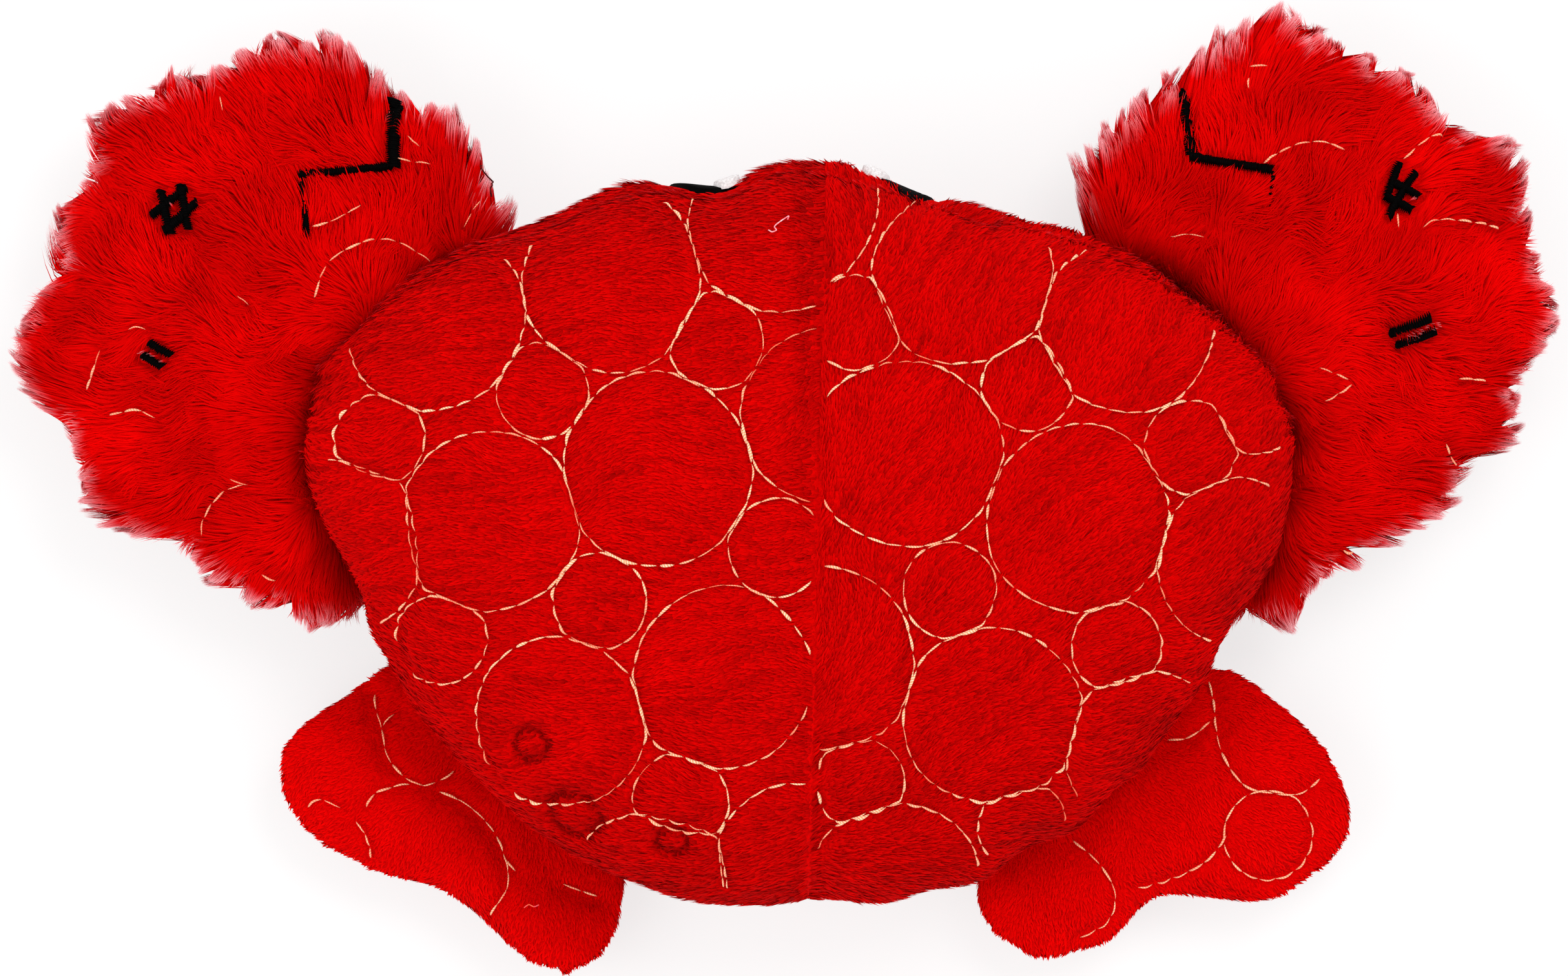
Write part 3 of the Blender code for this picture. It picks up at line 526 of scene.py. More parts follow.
class Top:
    """The upper surface of a form, as a grid of heights read from straight above."""

    def __init__(self, mesh, step=0.001):
        places = points_of(mesh)
        tree = tree_of(mesh)
        self.step = step
        self.low = places.min(0)[:2] - TOP_MARGIN
        counts = np.ceil((places.max(0)[:2] + TOP_MARGIN - self.low) / step).astype(int) + 1
        self.heights = np.full(counts, np.nan)
        down = Vector((0, 0, -1))
        for i in range(counts[0]):
            for j in range(counts[1]):
                start = Vector((self.low[0] + i * step, self.low[1] + j * step, 1.0))
                hit = tree.ray_cast(start, down)[0]
                if hit is not None:
                    self.heights[i, j] = hit.z

    def height(self, spots):
        at = (spots - self.low) / self.step
        cell = np.clip(np.floor(at).astype(int), 0, np.array(self.heights.shape) - 2)
        part = np.clip(at - cell, 0, 1)
        i, j = cell[..., 0], cell[..., 1]
        a, b = part[..., 0], part[..., 1]
        grid = self.heights
        return (
            grid[i, j] * (1 - a) * (1 - b) + grid[i + 1, j] * a * (1 - b)
            + grid[i, j + 1] * (1 - a) * b + grid[i + 1, j + 1] * a * b
        )

    def widened(self, times):
        """Goes on past the form's rim by that many steps, each place as high as those round it."""
        for _ in range(times):
            padded = np.pad(self.heights, 1, constant_values=np.nan)
            steps = [(i, j) for i in (-1, 0, 1) for j in (-1, 0, 1)]
            around = [np.roll(padded, step, (0, 1))[1:-1, 1:-1] for step in steps]
            known = ~np.isnan(around)
            mean = np.where(known, around, 0).sum(0) / np.maximum(known.sum(0), 1)
            self.heights = np.where(np.isnan(self.heights) & known.any(0), mean, self.heights)
        return self

    def normal(self, spots):
        along, across = np.array([self.step, 0]), np.array([0, self.step])
        slope_x = (self.height(spots + along) - self.height(spots - along)) / (2 * self.step)
        slope_y = (self.height(spots + across) - self.height(spots - across)) / (2 * self.step)
        return unit(np.stack([-slope_x, -slope_y, np.ones_like(slope_x)], axis=-1))

    def lifted(self, spots, lift):
        """Points above the surface along its normals."""
        ground = np.concatenate([spots, self.height(spots)[..., None]], axis=-1)
        return ground + np.asarray(lift)[..., None] * self.normal(spots)


# Stuffed forms

def polar(spots, centre):
    """For each spot, the spoke that it lies on, counted in parts too, and how far out it is."""
    away = spots - centre
    return np.arctan2(away[:, 1], away[:, 0]) / (2 * np.pi) * SPOKES, np.hypot(away[:, 0], away[:, 1])


def spokes_of(spots, centre):
    """How far the spots reach from the centre on each of the spokes round it."""
    spoke, far = polar(spots, centre)
    reach = np.zeros(SPOKES)
    np.maximum.at(reach, np.round(spoke).astype(int) % SPOKES, far)
    known = np.nonzero(reach)[0]
    return np.interp(np.arange(SPOKES), known, reach[known], period=SPOKES)


def outline_spokes(outline, centre):
    """How far a closed outline reaches on each of the spokes."""
    return spokes_of(dense(np.vstack([outline, outline[:1]])), centre)


def at_spoke(reach, spoke):
    return np.interp(spoke, np.arange(SPOKES), reach, period=SPOKES)


def eased(reach, width):
    """The spokes' reaches averaged over the neighbours of each."""
    ring = np.concatenate([reach[-width:], reach, reach[:width]])
    return np.convolve(ring, np.ones(width) / width, "same")[width:-width]


def edge_spots(mesh, per=16):
    """Plan places along all edges of the mesh."""
    ends = np.empty(len(mesh.edges) * 2, dtype=np.int32)
    mesh.edges.foreach_get("vertices", ends)
    first, last = points_of(mesh)[ends.reshape(-1, 2)][:, :, :2].transpose(1, 0, 2)
    return (first + np.linspace(0, 1, per)[:, None, None] * (last - first)).reshape(-1, 2)


def fit_outline(obj, centre, outline, inset, width):
    """Moves the mesh out or in on the plan until it reaches as far as the outline at each angle."""
    places = points_of(obj.data)
    spoke, far = polar(places[:, :2], centre)
    now = at_spoke(eased(spokes_of(edge_spots(obj.data), centre), 7), spoke)
    wanted = at_spoke(eased(outline_spokes(outline, centre), width) - inset, spoke)
    change = np.clip(wanted / now, 0.86, 1.16) - 1
    places[:, :2] += (places[:, :2] - centre) * (change * smoothstep(far / now))[:, None]
    set_points(obj.data, places)


def tree_of(mesh):
    return BVHTree.FromPolygons(
        [vertex.co for vertex in mesh.vertices], [tuple(face.vertices) for face in mesh.polygons]
    )


def drawn_to(tree, mesh, reach=0.010):
    """The mesh's points moved along their normals to the outermost skin of the tree."""
    places = []
    for place, normal in zip(points_of(mesh), normals_of(mesh)):
        start = Vector(place + reach * normal)
        hit = tree.ray_cast(start, Vector(-normal), 2 * reach)[0]
        places.append(place if hit is None else hit)
    return np.array(places)


def stuffed_form(name, nodes, voxel, depth):
    """One closed skin round the nodes, the depth of the pile inside their outer surface."""
    whole = bmesh.new()
    for node in nodes:
        whole.from_mesh(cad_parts[node].data)
    mesh = bpy.data.meshes.new(name)
    whole.to_mesh(mesh)
    whole.free()
    obj = new_object(name, mesh)
    remesh = obj.modifiers.new("remesh", "REMESH")
    remesh.mode = "VOXEL"
    remesh.voxel_size = voxel
    nodes_skin = tree_of(mesh)
    apply_modifiers(obj)
    obj.data.materials.clear()
    keep_outer_skin(obj.data)
    set_points(obj.data, drawn_to(nodes_skin, obj.data))
    outer = points_of(obj.data)
    inward = np.broadcast_to(depth(outer) if callable(depth) else depth, len(outer))
    places = outer - inward[:, None] * normals_of(obj.data)
    places[:, 2] = np.where(outer[:, 2] < FLOOR_TOUCH, FLOOR_GAP, np.maximum(places[:, 2], FLOOR_GAP))
    set_points(obj.data, places)
    return obj


def stuff(obj, sewn):
    """Blows the skin up from inside with the cloth solver. Its sewn points stay where they are."""
    start = points_of(obj.data)
    group = obj.vertex_groups.new(name="sewn")
    group.add([int(index) for index in np.nonzero(sewn)[0]], 1.0, "REPLACE")
    cloth = obj.modifiers.new("stuffing", "CLOTH")
    cloth.settings.vertex_group_mass = group.name
    cloth.settings.use_pressure = True
    cloth.settings.uniform_pressure_force = 4
    cloth.settings.effector_weights.gravity = 0
    cloth.point_cache.frame_start = 1
    cloth.point_cache.frame_end = SETTLE_FRAMES
    for number in range(1, SETTLE_FRAMES + 1):
        bpy.context.scene.frame_set(number)
    moved = points_of(evaluated(obj)) - start
    obj.modifiers.clear()
    obj.vertex_groups.clear()
    bpy.context.scene.frame_set(1)
    far = np.linalg.norm(moved, axis=1)
    cap = SWELL * np.tanh(far / SWELL) / np.maximum(far, 1e-9)
    places = start + moved * cap[:, None]
    places[:, 2] = np.maximum(places[:, 2], LOWEST_EDGE)
    set_points(obj.data, places)


def finer(obj, levels):
    surface = obj.modifiers.new("finer", "SUBSURF")
    surface.levels = levels
    surface.render_levels = levels
    return apply_modifiers(obj)


def groove(distance, width):
    return np.exp(-((distance / width) ** 2))


def add_groove(relief, kind, distance, where=1.0):
    """Adds a groove to the relief, which holds how deep each point goes in and how much painted shade darkens
    it.
    """
    depth, width, dark, painted_shade_width = GROOVES[kind]
    # The second row of the relief is painted shade, darkest along the middle of each groove
    relief[0] += depth * groove(distance, width) * where
    relief[1] += dark * groove(distance, painted_shade_width) * where


def press_in(mesh, down):
    """Moves each point of the mesh inwards by its depth, and none below the floor."""
    places = points_of(mesh) - down[:, None] * normals_of(mesh)
    places[:, 2] = np.maximum(places[:, 2], 0.0)
    set_points(mesh, places)


def upward(normals):
    """1 where a skin faces up, easing to 0 at its sides."""
    return smoothstep((normals[:, 2] + 0.1) / 0.3)


def sewn_down(mesh, lines):
    """Which points on the top of the mesh lie by the sewn lines."""
    return (nearest(lines, points_of(mesh), True) < SEWN_REACH) & (normals_of(mesh)[:, 2] > 0.2)


def add_piece(name, data, slot, *nodes, finish=None):
    """A finished piece that rides on the toy and stands for the nodes, if there are any."""
    data.materials.append(MATERIALS[finish or slot])
    obj = new_object(name, data)
    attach(obj, "root")
    if nodes:
        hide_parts(*nodes)
    return obj


# Stitches

def stitch_mesh(name, lines, normals, widths, buried):
    """Short twisted stitches, each a spindle along a line of points.

    lines and normals have one row of points for each stitch. widths and buried have one number each.
    """
    lines, normals = np.asarray(lines), np.asarray(normals)
    count, rings = lines.shape[:2]
    along = unit(np.gradient(lines, axis=1))
    beside = unit(np.cross(along, normals))
    up = np.cross(beside, along)
    share = np.linspace(0, 1, rings)
    bulk = 0.5 * np.sin(np.pi * (0.04 + 0.92 * share)) ** 0.9
    turn = np.linspace(0, 2 * np.pi, STITCH_SIDES, endpoint=False)
    lobe = 1 + 0.20 * np.cos(2 * turn[None, :] - STITCH_TWIST * share[:, None])
    radius = np.asarray(widths)[:, None, None] * bulk[None, :, None] * lobe[None]
    ring = (
        lines[:, :, None] + radius[..., None] * np.cos(turn)[None, None, :, None] * beside[:, :, None]
        + 0.8 * radius[..., None] * np.sin(turn)[None, None, :, None] * up[:, :, None]
    )
    places = np.concatenate([ring.reshape(count, -1, 3), lines[:, [0, -1]]], axis=1)
    sides = np.arange(STITCH_SIDES)
    following = (sides + 1) % STITCH_SIDES
    quads = [
        np.column_stack([k * STITCH_SIDES + sides, k * STITCH_SIDES + following,
                         (k + 1) * STITCH_SIDES + following, (k + 1) * STITCH_SIDES + sides])
        for k in range(rings - 1)
    ]
    first, last = rings * STITCH_SIDES, rings * STITCH_SIDES + 1
    tail = (rings - 1) * STITCH_SIDES
    tips = np.concatenate([
        np.column_stack([np.full(STITCH_SIDES, first), following, sides]),
        np.column_stack([np.full(STITCH_SIDES, last), tail + sides, tail + following]),
    ])
    quads = np.concatenate(quads)
    one = np.concatenate([quads[:, [0, 1, 2]], quads[:, [0, 2, 3]], tips])
    per = places.shape[1]
    faces = (one[None] + per * np.arange(count)[:, None, None]).reshape(-1, 3)
    mesh = mesh_of(name, places.reshape(-1, 3), faces)
    length = np.linalg.norm(np.diff(lines, axis=1), axis=2).sum(1)
    far = np.append(np.repeat(share, STITCH_SIDES), [0, 1])
    angle = np.concatenate([np.tile(turn, rings), [0, 0]])
    paint(mesh, "ply", (far[None] * length[:, None] / MM + angle[None] / (2 * np.pi)).ravel())
    paint(mesh, "buried", np.repeat(buried, per))
    return mesh


def cut_stitches(curve, normal, length, gap, chance, closed, sink):
    """Cuts a curve over the cloth into stitches. Each dips into the cloth at its two ends."""
    steps = np.linalg.norm(np.diff(curve, axis=0), axis=1)
    far = np.concatenate([[0], np.cumsum(steps)])
    total = far[-1]
    if total < 0.6 * length:
        return [], [], [], []
    count = max(1, round(total / (length + gap)))
    pitch = total / count
    lines, ups, widths, buried = [], [], [], []
    phase = chance.uniform(0, pitch) if closed else 0.0
    share = np.linspace(0, 1, STITCH_RINGS)
    arch = np.sin(np.pi * share)[:, None]
    ends = np.linspace(-1, 1, STITCH_RINGS)[:, None]
    for index in range(count):
        size = min(pitch * 1.06, length * chance.uniform(0.80, 1.2))
        at = phase + index * pitch + chance.uniform(-0.12, 0.12) * gap + size * share
        at = at % total if closed else np.clip(at, 0, total)
        line = np.stack([np.interp(at, far, curve[:, axis]) for axis in range(3)], axis=1)
        up = unit(np.stack([np.interp(at, far, normal[:, axis]) for axis in range(3)], axis=1))
        if np.isnan(line).any() or np.linalg.norm(np.diff(line, axis=0), axis=1).max() > size:
            continue
        depth = sink(line.mean(0)) if callable(sink) else sink
        depth = float(np.clip(depth + chance.normal(0, 0.12), 0, 1))
        skew = chance.normal(0, 0.00010) * ends * np.cross(up, np.gradient(line, axis=0) / MM)
        lines.append(line + up * (0.00055 * arch - 0.00025 - 0.00035 * depth) + skew)
        ups.append(up)
        widths.append(STITCH_WIDTH * (1 - 0.62 * depth) * chance.uniform(0.6, 1.3))
        buried.append(depth)
    return lines, ups, widths, buried


def gather(gathered, found):
    """Adds the lines, normals, widths and depths of more stitches to those of a piece."""
    for kept, more in zip(gathered, found):
        kept.extend(more)


def arc_stitches(arcs, top, kind, chance):
    """Stitches along plan lines, laid over the form."""
    lift, length, gap, sink = kind
    gathered = [], [], [], []
    for arc in arcs:
        run = dense(plan(rounded(arc)))
        points, normal = top.lifted(run, lift), top.normal(run)
        good = ~np.isnan(points).any(1)
        if good.sum() >= 4:
            gather(gathered, cut_stitches(points[good], normal[good], length, gap, chance, False, sink))
    return gathered


def circle_over(centre, radius, wobble, count=220):
    """A hand-sewn circle on the plan, closed and a little uneven."""
    turn = np.linspace(0, 2 * np.pi, count)
    heading = np.stack([np.cos(turn), np.sin(turn)], axis=1)
    phases = wobble.uniform(0, 2 * np.pi, 3)
    waver = ((0.018, 2), (0.012, 3), (0.008, 5))
    shape = 1 + sum(size * np.sin(times * turn + phase) for (size, times), phase in zip(waver, phases))
    return centre + radius * shape[:, None] * heading


# Pile and fur

def scatter(mesh, count, chance, weight):
    """Random places spread over the skin by weighted area, with their normals."""
    mesh.calc_loop_triangles()
    corners = np.empty(len(mesh.loop_triangles) * 3, dtype=np.int32)
    mesh.loop_triangles.foreach_get("vertices", corners)
    corners = corners.reshape(-1, 3)
    places, normals = points_of(mesh), normals_of(mesh)
    a, b, c = (places[corners[:, k]] for k in range(3))
    area = np.linalg.norm(np.cross(b - a, c - a), axis=1)
    area = area * weight((a + b + c) / 3, normals[corners].mean(1))
    edges = np.cumsum(area)
    picks = (np.arange(count) + chance.uniform(0, 1, count)) / count * edges[-1]
    which = corners[np.minimum(np.searchsorted(edges, picks), len(corners) - 1)]
    r, s = np.sqrt(chance.uniform(0, 1, count)), chance.uniform(0, 1, count)
    shares = np.stack([1 - r, r * (1 - s), r * s], axis=1)[..., None]
    return (places[which] * shares).sum(1), unit((normals[which] * shares).sum(1))


def blades(root, normal, flow, length, lean, droop, sway, roll, width, segments, pull=None):
    """Tapering ribbons of pile: points, triangles, how far along each point is, and points a ribbon.

    lean is each hair's angle above the skin in radians, and droop the share of it lost at the tip.
    pull gives each hair the place its tip is drawn to, and how strongly.
    """
    count = len(root)
    flow = unit(flow - (flow * normal).sum(1)[:, None] * normal)
    side = np.cross(flow, normal)
    share = np.linspace(0, 1, segments + 1)
    middle = (share[:-1] + share[1:]) / 2
    rise = lean[:, None] * (1 - droop * middle)
    reach = (length / segments)[:, None]
    step = (
        (reach * np.cos(rise))[..., None] * flow[:, None]
        + (reach * np.sin(rise))[..., None] * normal[:, None]
        + (reach * sway[:, None] * middle)[..., None] * side[:, None]
    )
    line = np.concatenate([root[:, None], root[:, None] + np.cumsum(step, axis=1)], axis=1)
    if pull is not None:
        target, strength = pull
        line = line + (strength[:, None] * share**1.4)[..., None] * (target - line[:, -1])[:, None]
    line[..., 2] = np.maximum(line[..., 2], FLOOR_GAP)
    across = np.cos(roll)[:, None] * side + np.sin(roll)[:, None] * normal
    half = 0.5 * width[:, None] * (1 - share[:-1] ** 1.6)
    left = line[:, :-1] - half[..., None] * across[:, None]
    right = line[:, :-1] + half[..., None] * across[:, None]
    pairs = np.stack([left, right], axis=2).reshape(count, -1, 3)
    places = np.concatenate([pairs, line[:, -1:]], axis=1)
    places[..., 2] = np.maximum(places[..., 2], LOWEST_EDGE)
    faces = []
    for k in range(segments - 1):
        a, b, c, d = 2 * k, 2 * k + 1, 2 * k + 3, 2 * k + 2
        faces += [(a, b, c), (a, c, d)]
    faces.append((2 * segments - 2, 2 * segments - 1, 2 * segments))
    per = 2 * segments + 1
    faces = (np.array(faces)[None] + per * np.arange(count)[:, None, None]).reshape(-1, 3)
    along = np.concatenate([np.repeat(share[:-1], 2), [1.0]])
    return places.reshape(-1, 3), faces, np.tile(along, count), per


def add_blades(name, made, tone, painted_tip_light, slot):
    places, faces, along, per = made
    mesh = mesh_of(name, places, faces)
    paint(mesh, "along", along)
    paint(mesh, "tone", np.repeat(tone, per))
    paint(mesh, "painted_tip_light", np.repeat(painted_tip_light, per))
    add_piece(name, mesh, slot, finish=f"{slot}_pile")


def combed(flow_at, low, high, step, reach, seed):
    """Streaks that follow the flow: random grain drawn out along it, middle 0 and spread 1."""
    xs = np.arange(low[0], high[0], step)
    ys = np.arange(low[1], high[1], step)
    grain = np.random.default_rng(seed).normal(size=(len(xs), len(ys)))
    grid = np.stack(np.meshgrid(xs, ys, indexing="ij"), axis=-1).reshape(-1, 2)

    def cells(spots):
        at = ((spots - low) / step).astype(int)
        return tuple(np.clip(at, 0, np.array(grain.shape) - 1).T)

    total = np.zeros(len(grid))
    for way in (-1, 1):
        spot = grid.copy()
        for _ in range(int(reach / step)):
            spot = spot + way * step * flow_at(spot)
            total += grain[cells(spot)]
    field = total.reshape(grain.shape)
    field = (field - field.mean()) / field.std()
    return lambda spots: field[cells(spots)]


# Materials

def new_material(name, roughness, **more):
    """A material whose shader has those constant inputs, their names written with low lines."""
    material = bpy.data.materials.new(name)
    material.use_nodes = True
    tree = material.node_tree
    shader = tree.nodes["Principled BSDF"]
    inputs = {"Specular_IOR_Level": 0.02, "Roughness": roughness, **more}
    for key, value in inputs.items():
        shader.inputs[key.replace("_", " ")].default_value = value
    return material, tree, shader


def node(tree, kind, **settings):
    made = tree.nodes.new(kind)
    for key, value in settings.items():
        if key in made.inputs.keys():
            made.inputs[key].default_value = value
        else:
            setattr(made, key, value)
    return made


def ramp(tree, factor, stops):
    made = tree.nodes.new("ShaderNodeValToRGB")
    elements = made.color_ramp.elements
    while len(elements) < len(stops):
        elements.new(0.5)
    for element, (place, colour) in zip(elements, stops):
        element.position = place
        element.color = (*colour, 1.0)
    tree.links.new(factor, made.inputs["Fac"])
    return made.outputs["Color"]


def mixed(tree, factor, first, second, kind="MIX"):
    made = tree.nodes.new("ShaderNodeMix")
    made.data_type = "RGBA"
    made.blend_type = kind
    for place, value in ((0, factor), (6, first), (7, second)):
        if isinstance(value, bpy.types.NodeSocket):
            tree.links.new(value, made.inputs[place])
        else:
            made.inputs[place].default_value = (*value, 1.0) if isinstance(value, tuple) else value
    return made.outputs[2]


def multiplied(tree, first, second):
    return mixed(tree, 1.0, first, second, "MULTIPLY")


def grey(level):
    return (level, level, level)


def calculated(tree, operation, first, second=None):
    """The result of a Math node, for one socket and a constant if it takes one."""
    made = node(tree, "ShaderNodeMath", operation=operation)
    tree.links.new(first, made.inputs[0])
    if second is not None:
        made.inputs[1].default_value = second
    return made.outputs[0]


def attribute(tree, name):
    made = tree.nodes.new("ShaderNodeAttribute")
    made.attribute_name = name
    return made.outputs["Fac"]


def noise(tree, scale, detail=2.0, stretch=None, distortion=0.0):
    """Fine noise in the object's own space."""
    place = tree.nodes.new("ShaderNodeTexCoord")
    vector = place.outputs["Object"]
    if stretch is not None:
        mapping = tree.nodes.new("ShaderNodeMapping")
        mapping.inputs["Scale"].default_value = stretch
        tree.links.new(vector, mapping.inputs["Vector"])
        vector = mapping.outputs["Vector"]
    made = node(tree, "ShaderNodeTexNoise", Scale=scale, Detail=detail, Distortion=distortion)
    tree.links.new(vector, made.inputs["Vector"])
    return made.outputs["Fac"]


def bump(tree, shader, height, distance, strength):
    made = node(tree, "ShaderNodeBump", Strength=strength, Distance=distance)
    tree.links.new(height, made.inputs["Height"])
    tree.links.new(made.outputs["Normal"], shader.inputs["Normal"])


def skin_material(name, deep, shade, bright, sheen):
    """The cloth under the pile: streaked, with painted shade darkening it in its grooves."""
    material, tree, shader = new_material(
        name, 0.95, Sheen_Weight=sheen, Sheen_Roughness=0.5, Sheen_Tint=(1.0, 0.35, 0.40, 1.0)
    )
    streaks = noise(tree, 900.0, 3.0, (1.0, 1.6, 1.6), 0.6)
    colour = ramp(tree, streaks, [(0.30, shade), (0.62, bright)])
    # Painted shade: the deep colour is mixed in along the grooves
    colour = mixed(tree, attribute(tree, "painted_crease_shade"), colour, deep)
    tree.links.new(colour, shader.inputs["Base Color"])
    bump(tree, shader, streaks, 0.0006, 0.8)
    return material


def pile_material(name, deep, shade, bright, tips, sheen):
    """Pile with painted shade darkening its roots, and a paler tip painted where light would shine through it.

    tone runs from 0 for dark hairs to 1 for bright ones, and below 0 in a dent, where it paints shade.
    """
    material, tree, shader = new_material(
        name, 0.85, Sheen_Weight=sheen, Sheen_Roughness=0.45, Sheen_Tint=(1.0, 0.20, 0.25, 1.0)
    )
    along, tone = attribute(tree, "along"), attribute(tree, "tone")
    # Painted shade: each hair is darker towards its root
    colour = ramp(tree, along, [(0.0, deep), (0.30, shade), (0.85, bright)])
    toned = mixed(tree, tone, grey(0.58), grey(1.0))
    # Painted shade: hairs in a dent, whose tone is below 0, are darkened further
    toned = mixed(tree, calculated(tree, "ADD", tone, 1.0), grey(0.30), toned)
    drift = ramp(tree, noise(tree, 260.0), [(0.3, grey(0.92)), (0.7, grey(1.0))])
    colour = multiplied(tree, multiplied(tree, colour, toned), drift)
    # Painted light: the tips of the marked hairs are made paler, as if light shone through them
    tip = ramp(tree, along, [(0.60, grey(0.0)), (0.95, grey(1.0))])
    amount = multiplied(tree, tip, attribute(tree, "painted_tip_light"))
    colour = mixed(tree, amount, colour, ramp(tree, along, [(0.65, tips[0]), (1.0, tips[1])]))
    tree.links.new(colour, shader.inputs["Base Color"])
    return material


def thread_material():
    """Twisted thread, its plies shown by stripes of painted highlight and shade, and dyed by the pile where it
    is buried.
    """
    material, tree, shader = new_material("gold_thread", 0.6, Specular_IOR_Level=0.3)
    turns = calculated(tree, "MULTIPLY", attribute(tree, "ply"), PLY_TURN)
    level = node(tree, "ShaderNodeMapRange")
    level.inputs["From Min"].default_value = -1.0
    tree.links.new(calculated(tree, "SINE", turns), level.inputs["Value"])
    # Painted highlight on the crest of each ply and painted shade between the plies
    colour = ramp(tree, level.outputs[0], [(0.0, GOLD_DEEP), (0.45, GOLD), (0.9, GOLD_PALE)])
    fibres = ramp(tree, noise(tree, 2500.0), [(0.3, grey(0.94)), (0.7, grey(1.0))])
    colour = mixed(tree, attribute(tree, "buried"), multiplied(tree, colour, fibres), SALMON)
    tree.links.new(colour, shader.inputs["Base Color"])
    bump(tree, shader, level.outputs[0], 0.00012, 0.7)
    return material


def plain_material(name, dark, light, scale, roughness, relief, specular=0.2):
    """A finish whose colour and relief vary with a fine grain."""
    material, tree, shader = new_material(name, roughness, Specular_IOR_Level=specular)
    grain = noise(tree, scale, 3.0)
    tree.links.new(ramp(tree, grain, [(0.3, dark), (0.7, light)]), shader.inputs["Base Color"])
    bump(tree, shader, grain, relief, 0.8)
    return material


MATERIALS = {
    "minky": skin_material("minky_cloth", RED_DEEP, RED_SHADE, RED, 0.01),
    "minky_pile": pile_material("minky_pile", RED_SHADE, RED, RED_BRIGHT, (RED_BRIGHT, PINK), 0.01),
    "fur": skin_material("fur_backing", RED_DEEP, RED, RED_BRIGHT, 0.0),
    "fur_pile": pile_material("fur_pile", RED, FUR_BRIGHT, FUR_BRIGHT, (PINK, PINK_PALE), 0.0),
    "thread": thread_material(),
    "satin": plain_material("black_satin", grey(0.0002), (0.0012, 0.001, 0.001), 3000.0, 0.8, 0.0001, 0.03),
    "glint": plain_material("white_felt", (0.62, 0.58, 0.58), (0.92, 0.90, 0.90), 2200.0, 0.9, 0.0002),
    "bulb": plain_material(
        "soft_plastic", (0.70, 0.71, 0.72), (0.80, 0.81, 0.82), 400.0, 0.4, 0.00005, 0.4
    ),
    "valve": plain_material(
        "hard_plastic", (0.78, 0.77, 0.74), (0.88, 0.87, 0.85), 600.0, 0.45, 0.00004, 0.4
    ),
}


def finish_form(obj, nodes, slot, painted_crease_shade):
    paint(obj.data, "painted_crease_shade", painted_crease_shade)
    obj.data.materials.clear()
    obj.data.materials.append(MATERIALS[slot])
    obj.data.shade_smooth()
    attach(obj, "root")
    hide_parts(*nodes)


# Body

def seam_x(y):
    """Where the back's middle seam runs at that plan y, both in millimetres."""
    share = (SEAM_TOP[1] - y) / (SEAM_TOP[1] - SEAM_END[1])
    return SEAM_TOP[0] + share * (SEAM_END[0] - SEAM_TOP[0])


def past_seam(places):
    """How far to the right of the middle seam places of the frame lie, in millimetres."""
    x, y = in_mm(places[:, :2]).T
    return x - seam_x(y)


def body_heading(spots):
    """The direction that the pile's streaks run in, for places in the frame."""
    x, y = in_mm(spots).T
    angle = np.where(
        x < seam_x(y),
        math.pi + 0.10 + 0.004 * y,
        np.arctan2(y + 78, x + 12) * 1.25 - 0.38,
    )
    angle = angle + 0.34 * waves(spots, 0.030, 3) + 0.22 * waves(spots, 0.011, 4)
    return np.stack([np.cos(angle), np.sin(angle)], axis=1)


def panel_borders(nodes, places):
    """How far each place is from the border between the panel nearest to it and the next one."""
    found = []
    for name in nodes:
        tree = tree_of(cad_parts[name].data)
        found.append([tree.find_nearest(Vector(place))[3] for place in places])
    found = np.sort(np.array(found), axis=0)
    return found[1] - found[0]


def sewn_circles(top):
    """Every stitched circle of the back, as plan curves with what lies on its own panel kept."""
    chance = np.random.default_rng(11)
    curves = []
    for side, sign in SIDES.items():
        for x, y, radius, *arc in BACK_CIRCLES[side]:
            curve = circle_over(plan((x, y)), radius * MM, chance)
            spots = in_mm(curve)
            for other_x, other_y, other_radius, *_ in BACK_CIRCLES[side]:
                apart = math.hypot(other_x - x, other_y - y)
                if 0 < apart < radius + other_radius:
                    towards = np.array([other_x - x, other_y - y]) / apart
                    border = (apart**2 + radius**2 - other_radius**2) / (2 * apart) - DOUBLED_HALF
                    beyond = np.clip((spots - (x, y)) @ towards - border, 0, None)
                    spots -= LINE_SHARING * beyond[:, None] * towards
            curve = plan(spots)
            kept = sign * (spots[:, 0] - seam_x(spots[:, 1])) > 0.9
            kept &= top.normal(curve)[:, 2] > 0.16
            if arc:
                turn = np.degrees(np.arctan2(spots[:, 1] - y, spots[:, 0] - x)) % 360
                kept &= (turn > arc[0]) & (turn < arc[1])
            curves.append((curve, kept))
    return curves


def ring_distance(flat):
    """How far each place of the frame's plan is from the nearest of the ring dents."""
    found = []
    for x, y, wide, high, turn in RING_DENTS:
        spots = (flat - plan((x, y))) / MM
        heading = heading_of(turn)
        along, across = spots @ heading, spots @ square_to(heading)
        found.append(np.abs(np.hypot(along / wide, across / high) - 1) * (wide + high) / 2 * MM)
    return np.min(found, axis=0)


